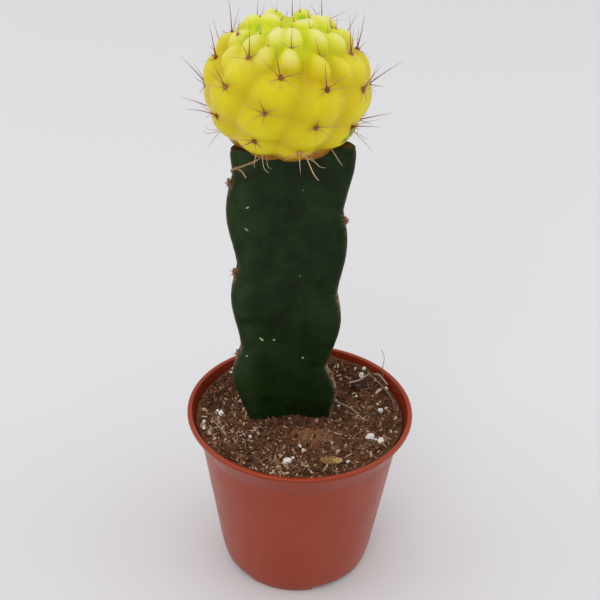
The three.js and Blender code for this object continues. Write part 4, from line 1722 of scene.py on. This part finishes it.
@dataclass
class PottingMix:
    """The peat mix: its body, crumbs, flakes, fibres, roots, perlite and bark."""

    level: float = 62.3 * MM
    edge_rise: float = 1.2 * MM
    back_rise: float = 1.5 * MM
    heap: float = 1.7 * MM
    wall_foot: float = 58.9 * MM
    wall_radius: float = 36.8 * MM
    wall_slope: float = 0.427
    gap: float = 0.35 * MM
    steps: int = 260
    rings: int = 84
    crumbs: int = 6400
    flakes: int = 620
    fibres: int = 110
    loose_perlite: int = 26
    bare_patch: tuple[float, float, float] = (6.0, -9.0, 9.5)
    # The patches where tan pieces are more common: x, y and size in millimetres.
    pale_patches: tuple[tuple[float, float, float], ...] = (
        (-29.0, -8.0, 9.0),
        (-22.0, 12.0, 7.0),
        (-6.0, -30.0, 9.0),
        (30.0, -12.0, 8.0),
    )
    # The radius and height of the body's corners, from under its middle up to its shoulder.
    underside: tuple[tuple[float, float], ...] = (
        (0.0, 4.3 * MM),
        (24.0 * MM, 4.3 * MM),
        (28.0 * MM, 9.0 * MM),
        (35.6 * MM, 57.4 * MM),
    )
    grains: tuple[float, ...] = (1.7, 1.4, 1.8, 1.6, 1.8, 1.3)
    bits: tuple[tuple[float, float, float], ...] = (
        (-4.9, -26.8, 0.9), (-2.2, -23.4, 0.8), (0.4, -15.2, 0.75), (1.6, -17.5, 0.7), (33.2, 6.8, 0.7),
        (-36.0, -7.0, 0.8), (-35.6, -11.0, 0.7), (-26.5, 26.5, 0.9), (-27.5, 24.5, 0.7), (21.8, 14.7, 0.6),
        (33.5, 17.5, 0.8), (18.0, -25.6, 0.8), (14.8, 9.2, 0.6), (-18.3, -11.9, 0.7), (28.5, -12.8, 0.8),
        (25.0, 28.6, 0.9), (-31.4, 2.4, 0.7), (30.0, 10.0, 0.6),
    )
    roots: tuple[Root, ...] = (
        Root(
            "root_arc",
            ((13, 12, 0.5), (16, 9, 1.6), (20, 6, 1.8), (25, 0, 0.5)),
            (0.36, 0.2),
            Dry.ROOT,
            0.5,
        ),
        Root(
            "rim_twig",
            ((36, 3, 1.0), (35.6, 9, 1.5), (32.5, 17, 1.6), (27, 25, 1.1)),
            (0.5, 0.3),
            Dry.FIBRE,
            0.0,
        ),
        Root("grey_root", ((29, 25.5, 0.6), (31, 23, 2.0), (34, 19, 1.0)), (0.5, 0.35), Dry.ROOT),
        Root("pale_stick", ((19, 20.5, 2.0), (23, 22, 2.2), (27, 24.5, 2.0)), (0.42, 0.28), Dry.ROOT, 0.4),
        Root("left_root", ((-33, -4, 0.7), (-30, -9, 1.4), (-27, -13, 0.5)), (0.3, 0.2), Dry.ROOT),
        Root("front_root", ((-12, -25, 0.6), (-6, -28.5, 1.0), (1, -29.5, 0.5)), (0.2, 0.12), Dry.FIBRE),
        Root("side_root", ((-27, 11, 0.6), (-24, 6, 1.5), (-23, 0, 0.6)), (0.32, 0.2), Dry.BARK),
    )
    # Each larger chip's x, y, half length, half width and turn.
    chips: tuple[tuple[float, float, float, float, float], ...] = (
        (14.5, 2.5, 2.1, 1.2, 30.0),
        (-20.0, -22.0, 1.9, 1.1, 70.0),
        (31.0, 17.4, 2.6, 0.6, 50.0),
        (6.0, -31.0, 1.8, 1.0, -15.0),
    )
    root_path: tuple[tuple[float, float, float], ...] = (
        (24.0, 18.0, 64.6),
        (29.0, 19.5, 65.1),
        (32.0, 22.0, 68.0),
        (31.8, 22.0, 72.0),
        (32.2, 22.0, 77.0),
        (31.0, 22.0, 81.0),
    )

    def __post_init__(self) -> None:
        """Starts the mix's own source of irregularity."""
        self.rng = np.random.default_rng(2024)

    def surface(self, points: np.ndarray) -> np.ndarray:
        """The height of the mix's surface, which rises to the pot's wall and its back.

        Args:
            points: positions, whose x and y count.

        Returns:
            One height for each point.
        """
        x, y = points[:, 0], points[:, 1]
        flat = np.column_stack([x, y, np.zeros(len(points))])
        ripple = 0.35 * (np.sin(x / (5.1 * MM) + 1) * np.cos(y / (6.3 * MM)) + np.sin((x + y) / (8.7 * MM)))
        edge = self.edge_rise * smoothstep(np.hypot(x, y), 18 * MM, 36 * MM)
        back = self.back_rise * smoothstep(y, 4 * MM, 36 * MM)
        heap = self.heap * smoothstep(np.hypot(x, y), 32 * MM, 38 * MM)
        lumps = 0.34 * drift(flat, 3.4 * MM, 2.0) + 0.30 * drift(flat, 1.3 * MM, 3.0)
        return self.level + edge + back + heap + (ripple + lumps) * MM

    def wall_at(self, z: np.ndarray | float) -> np.ndarray | float:
        """The inner radius of the pot's collar at a height."""
        return self.wall_radius + self.wall_slope * (z - self.wall_foot)

    def bareness(self, points: np.ndarray) -> np.ndarray:
        """How bare of crumbs the surface is, 1 at the middle of the smooth patch."""
        x, y, size = self.bare_patch
        return np.exp(-((np.hypot(points[:, 0] - x * MM, (points[:, 1] - y * MM) * 1.7) / (size * MM)) ** 4))

    def build_body(self) -> None:
        """Makes the body of the mix, whose top follows the surface."""
        brim = self.wall_at(self.level) - self.gap
        top = [(brim * (1 - ring / self.rings), self.level) for ring in range(self.rings + 1)]
        bm = turned([*self.underside, *top], self.steps, closed=False)
        points = coordinates(bm)
        upper = points[:, 2] > self.level - 0.01 * MM
        height = self.surface(points[upper])
        fit = (self.wall_at(height) - self.gap) / brim
        points[upper, :2] *= fit[:, None]
        points[upper, 2] = height
        move_to(bm, points)
        paint(bm, "tint", 0.20 + 0.14 * drift(points, 2.2 * MM, 5.0) + 0.30 * self.bareness(points))
        add_piece("mix_body", bm, PeatCrumb(), ["potting_mix"])

    def spots(self, count: int, stock: Rootstock, reach: float = 38.2 * MM, bare: bool = False) -> np.ndarray:
        """Random places on the surface, clear of the stock.

        Args:
            count: how many places.
            stock: the stock that stands in the mix.
            reach: the largest radius.
            bare: whether the smooth patch is mostly left free.

        Returns:
            The places on the surface, one row each.
        """
        places = np.empty((0, 3))
        while len(places) < count:
            radius = reach * np.sqrt(self.rng.uniform(0.0, 1.0, count))
            flat = heading(self.rng.uniform(0.0, 360.0, count)) * radius[:, None]
            offset = flat - stock.axis(np.full(count, 63 * MM))
            azimuth = azimuths(offset)
            trunk = stock.radius(azimuth, np.full(count, 64 * MM)) + 0.1 * MM
            kept = np.hypot(offset[:, 0], offset[:, 1]) > trunk
            if bare:
                kept &= self.rng.uniform(0.0, 1.0, count) > 0.8 * self.bareness(flat)
            places = np.vstack([places, flat[kept]])
        places = places[:count]
        places[:, 2] = self.surface(places)
        return places

    def build_crumbs(self, stock: Rootstock) -> None:
        """Scatters the crumbs of peat.

        Args:
            stock: the stock that stands in the mix.
        """
        bm = bmesh.new()
        shapes = [self.crumb_shape(seed) for seed in range(8)]
        places = self.spots(self.crumbs, stock, bare=True)
        sizes = np.clip(self.rng.lognormal(-0.85, 0.48, self.crumbs), 0.2, 1.3) * MM
        mottles = 0.13 * drift(places, 5.5 * MM, 9.0)
        for place, size, mottle in zip(places, sizes, mottles):
            stamp = shapes[self.rng.integers(len(shapes))]
            turn = self.random_turn()
            points = place + stamp.base @ turn.T * size
            points[:, 2] += size * self.rng.uniform(0.0, 0.5)
            stamp.press(bm, points, self.crumb_tint(place) + mottle)
        for stamp in shapes:
            stamp.discard()
        add_piece("mix_crumbs", bm, PeatCrumb(name="peat_crumb"), smooth=False)

    def crumb_shape(self, seed: int) -> Stamp:
        """One irregular crumb of radius one."""
        shape = lump(1)
        points = coordinates(shape)
        points *= (1.0 + 0.55 * drift(points, 0.6, seed * 3.0))[:, None]
        move_to(shape, points * np.array([1.15, 0.40 + 0.06 * seed, 0.45]))
        return Stamp(f"crumb_{seed}", shape)

    def paleness(self, place: np.ndarray) -> float:
        """How often a piece of the mix is tan: more on the left, at the front and on the right."""
        east, north = place[0] / MM, place[1] / MM
        gaps = [math.hypot(east - x, north - y) / size for x, y, size in self.pale_patches]
        return 0.13 + 0.38 * math.exp(-(min(gaps) ** 2))

    def crumb_tint(self, place: np.ndarray) -> float:
        """A crumb's colour: mostly brown, tan more often in the paler patches."""
        if self.rng.uniform() < self.paleness(place):
            return float(self.rng.uniform(0.55, 0.9))
        return float(self.rng.uniform(0.0, 0.50))

    def random_turn(self) -> np.ndarray:
        """A random rotation as a 3 by 3 matrix."""
        first = unit(self.rng.normal(size=3))
        second = unit(np.cross(first, self.rng.normal(size=3)))
        return np.stack([first, second, np.cross(first, second)], axis=1)

    def build_flakes(self, stock: Rootstock) -> None:
        """Scatters thin flakes of bark and leaf mould.

        Args:
            stock: the stock that stands in the mix.
        """
        bm = bmesh.new()
        shape = bmesh.new()
        bmesh.ops.create_cube(shape, size=2.0)
        long_edges = [e for e in shape.edges if abs(e.verts[0].co.x - e.verts[1].co.x) > 1.0]
        bmesh.ops.subdivide_edges(shape, edges=long_edges, cuts=3, use_grid_fill=True)
        stamp = Stamp("flake", shape)
        for place in self.spots(self.flakes, stock, 36.0 * MM, bare=True):
            pale = self.rng.uniform() < self.paleness(place) * 0.6
            length, width = self.rng.uniform(0.5, 1.8) * MM, self.rng.uniform(0.16, 0.5) * MM
            self.press_flake(bm, stamp, place, length, width, self.lying_turn(0.35), 0.85 if pale else None)
        for x, y, length, width, turn in self.chips:
            place = np.array([x * MM, y * MM, 0.0])
            place[2] = self.surface(place[None])[0] + 0.4 * MM
            along = heading(turn + 90.0)
            rotation = np.stack([along, np.cross(UP, along), UP], axis=1)
            self.press_flake(bm, stamp, place, length * MM, width * MM, rotation, 0.85 if x > 30.0 else 0.0)
        stamp.discard()
        add_piece("mix_flakes", bm, PeatCrumb(name="peat_flake"), smooth=False)

    def press_flake(
        self,
        bm: bmesh.types.BMesh,
        stamp: Stamp,
        place: np.ndarray,
        length: float,
        width: float,
        turn: np.ndarray,
        tint: float | None,
    ) -> None:
        """Presses one curled flake.

        Args:
            bm: the bmesh that grows.
            stamp: the flake's shape.
            place: where it lies.
            length: half its length.
            width: half its width.
            turn: its rotation.
            tint: its colour, or none for a random brown.
        """
        base = stamp.base
        narrow = 1.0 - 0.6 * np.abs(base[:, 0]) ** 2
        curl = self.rng.uniform(-0.4, 0.4) * length
        local = np.column_stack([
            base[:, 0] * length,
            base[:, 1] * width * narrow,
            base[:, 2] * 0.13 * MM + curl * base[:, 0] ** 2,
        ])
        if tint is None:
            tint = float(self.rng.choice([0.02, 0.2, 0.45], p=[0.4, 0.35, 0.25]))
        stamp.press(bm, place + local @ turn.T + UP * 0.42 * MM, tint)

    def lying_turn(self, tilt: float) -> np.ndarray:
        """A rotation that lays a piece nearly flat.

        Args:
            tilt: how far it may lean.

        Returns:
            The rotation as a 3 by 3 matrix.
        """
        out = unit(UP + self.rng.normal(size=3) * tilt)
        along = unit(np.cross(out, self.rng.normal(size=3)))
        return np.stack([along, np.cross(out, along), out], axis=1)

    def build_fibres(self, stock: Rootstock) -> None:
        """Scatters curved fibres over the surface.

        Args:
            stock: the stock that stands in the mix.
        """
        bm = bmesh.new()
        stamp = Stamp("fibre", rod(5, 6, 1.0))
        base = stamp.base
        for place in self.spots(self.fibres, stock, 33 * MM):
            length = self.rng.uniform(1.6, 6.5) * MM
            turn = self.lying_turn(0.12)
            t = base[:, 2:] - 0.5
            bow = self.rng.uniform(-0.45, 0.45)
            line = turn[:, 0] * t * length + turn[:, 1] * (t**2 - 0.1) * bow * length
            arch = UP * (0.25 - t**2) * self.rng.uniform(0.0, 0.35) * length
            girth = self.rng.uniform(0.06, 0.15) * MM
            ring = (turn[:, 2] * base[:, :1] + turn[:, 1] * base[:, 1:2]) * girth
            points = place + line + arch + ring + UP * 0.6 * MM
            stamp.press(bm, points, self.rng.uniform(-0.2, 0.5))
        stamp.discard()
        add_piece("mix_fibres", bm, Dry.FIBRE.value)

    def build_roots(self) -> None:
        """Makes the larger roots and twigs that lie on the mix."""
        for root in self.roots:
            bm = bmesh.new()
            stamp = Stamp(root.name, rod(8, 30, 1.0))
            knots = np.array(root.knots) * MM
            knots[:, 2] += self.surface(knots)
            bend(bm, stamp, knots, tuple(radius * MM for radius in root.radii), root.tint, lumps=0.25)
            stamp.discard()
            add_piece(root.name, bm, root.finish.value)

    def perlite_lump(self, bm: bmesh.types.BMesh, stamp: Stamp, place: np.ndarray, size: float) -> None:
        """Presses one knobbly grain of perlite.

        Args:
            bm: the bmesh that grows.
            stamp: the ball that it is made from.
            place: its centre.
            size: its radius.
        """
        seed = float(self.rng.uniform(0, 90))
        knobs = 1.0 + 0.34 * drift(stamp.base, 0.75, seed) + 0.12 * drift(stamp.base, 0.3, seed + 3)
        shape = stamp.base * knobs[:, None] * np.array([1.0, 0.85, 0.8])
        stamp.press(bm, place + shape @ self.random_turn().T * size, 0.0)

    def build_perlite(self, stock: Rootstock) -> None:
        """Makes the named grains, and the small ones round them.

        Args:
            stock: the stock that stands in the mix.
        """
        ball = Stamp("perlite_ball", lump(4))
        for number, size in enumerate(self.grains, start=1):
            bm = bmesh.new()
            low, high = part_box(f"perlite_{number}")
            place = (np.array(low) + np.array(high)) / 2
            self.perlite_lump(bm, ball, place, size * 0.95 * MM)
            add_piece(f"perlite_grain_{number}", bm, Perlite(), [f"perlite_{number}"])
        ball.discard()
        small = Stamp("perlite_bit", lump(2))
        bm = bmesh.new()
        placed = np.array([(x * MM, y * MM, 0.0) for x, y, _ in self.bits])
        placed[:, 2] = self.surface(placed)
        for place, (_, _, size) in zip(placed, self.bits):
            self.perlite_lump(bm, small, place + UP * 0.5 * MM, size * MM)
        for place in self.spots(self.loose_perlite, stock, 36 * MM):
            size = self.rng.uniform(0.22, 0.5) * MM
            self.perlite_lump(bm, small, place + UP * 0.4 * MM, size)
        small.discard()
        add_piece("perlite_bits", bm, Perlite())

    def build_bark(self) -> None:
        """Makes the dark flake of bark and the lumpy cluster of husk."""
        self.build_chip("bark_chip_1", Dry.BARK.value, (1.0, 1.0, 1.3), ((0.0, 0.0, 1.0),))
        cluster = (
            (-0.55, 0.10, 0.5),
            (-0.15, -0.25, 0.55),
            (0.15, 0.30, 0.5),
            (0.45, -0.05, 0.5),
            (0.72, 0.25, 0.3),
        )
        self.build_chip("bark_chip_2", Dry.HUSK.value, (1.0, 1.0, 4.6), cluster)

    def build_chip(
        self,
        node: str,
        finish: DryPlant,
        swell: tuple[float, float, float],
        parts: Sequence[tuple[float, float, float]],
    ) -> None:
        """Makes one flake or cluster in a CAD flake's place.

        Args:
            node: the CAD node that it stands for.
            finish: its finish.
            swell: how far each side of the node's box is stretched.
            parts: each lump's place, as shares of the half length and half width, and its size.
        """
        bm = bmesh.new()
        stamp = Stamp(node, lump(4))
        low, high = (np.array(corner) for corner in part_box(node))
        half = (high - low) / 2 * np.array(swell)
        for x, y, size in parts:
            base = stamp.base
            seed = 8.0 + x
            rough = 1.0 + 0.25 * drift(base, 0.55, seed) + 0.14 * drift(base, 0.2, 9.0)
            rough = rough + 0.07 * drift(base, 0.08, 2.0)
            places = (low + high) / 2 + half * (np.array([x, y, 0.0]) + base * rough[:, None] * size)
            stamp.press(bm, places, 0.3 * drift(base, 0.3, 4.0) + 0.3 * (x > 0.2))
        stamp.discard()
        add_piece(f"{node}_piece", bm, finish, [node])

    def build_hair(self) -> None:
        """Makes the hair root that stands up past the rim."""
        bm = bmesh.new()
        stamp = Stamp("hair", rod(8, 60, 1.0))
        bend(bm, stamp, np.array(self.root_path) * MM, (0.21 * MM, 0.10 * MM), 0.0)
        stamp.discard()
        add_piece("root_hair", bm, Dry.ROOT.value, ["root_fibre"])

    def build(self, stock: Rootstock) -> None:
        """Makes the whole mix.

        Args:
            stock: the stock that stands in it.
        """
        self.build_body()
        self.build_crumbs(stock)
        self.build_flakes(stock)
        self.build_fibres(stock)
        self.build_roots()
        self.build_perlite(stock)
        self.build_bark()
        self.build_hair()


# ---- Assembly ------------------------------------------------------------------------------------


def main() -> None:
    """Builds the studio and every piece of the potted cactus, in order."""
    logging.basicConfig(level=logging.INFO, format="%(name)s: %(message)s")
    Studio().build()
    NurseryPot().build()
    stock = Rootstock()
    wool = Tufts()
    stock.build(wool)
    CactusHead().build(stock, wool)
    wool.discard()
    PottingMix().build(stock)


if __name__ == "__main__":
    main()
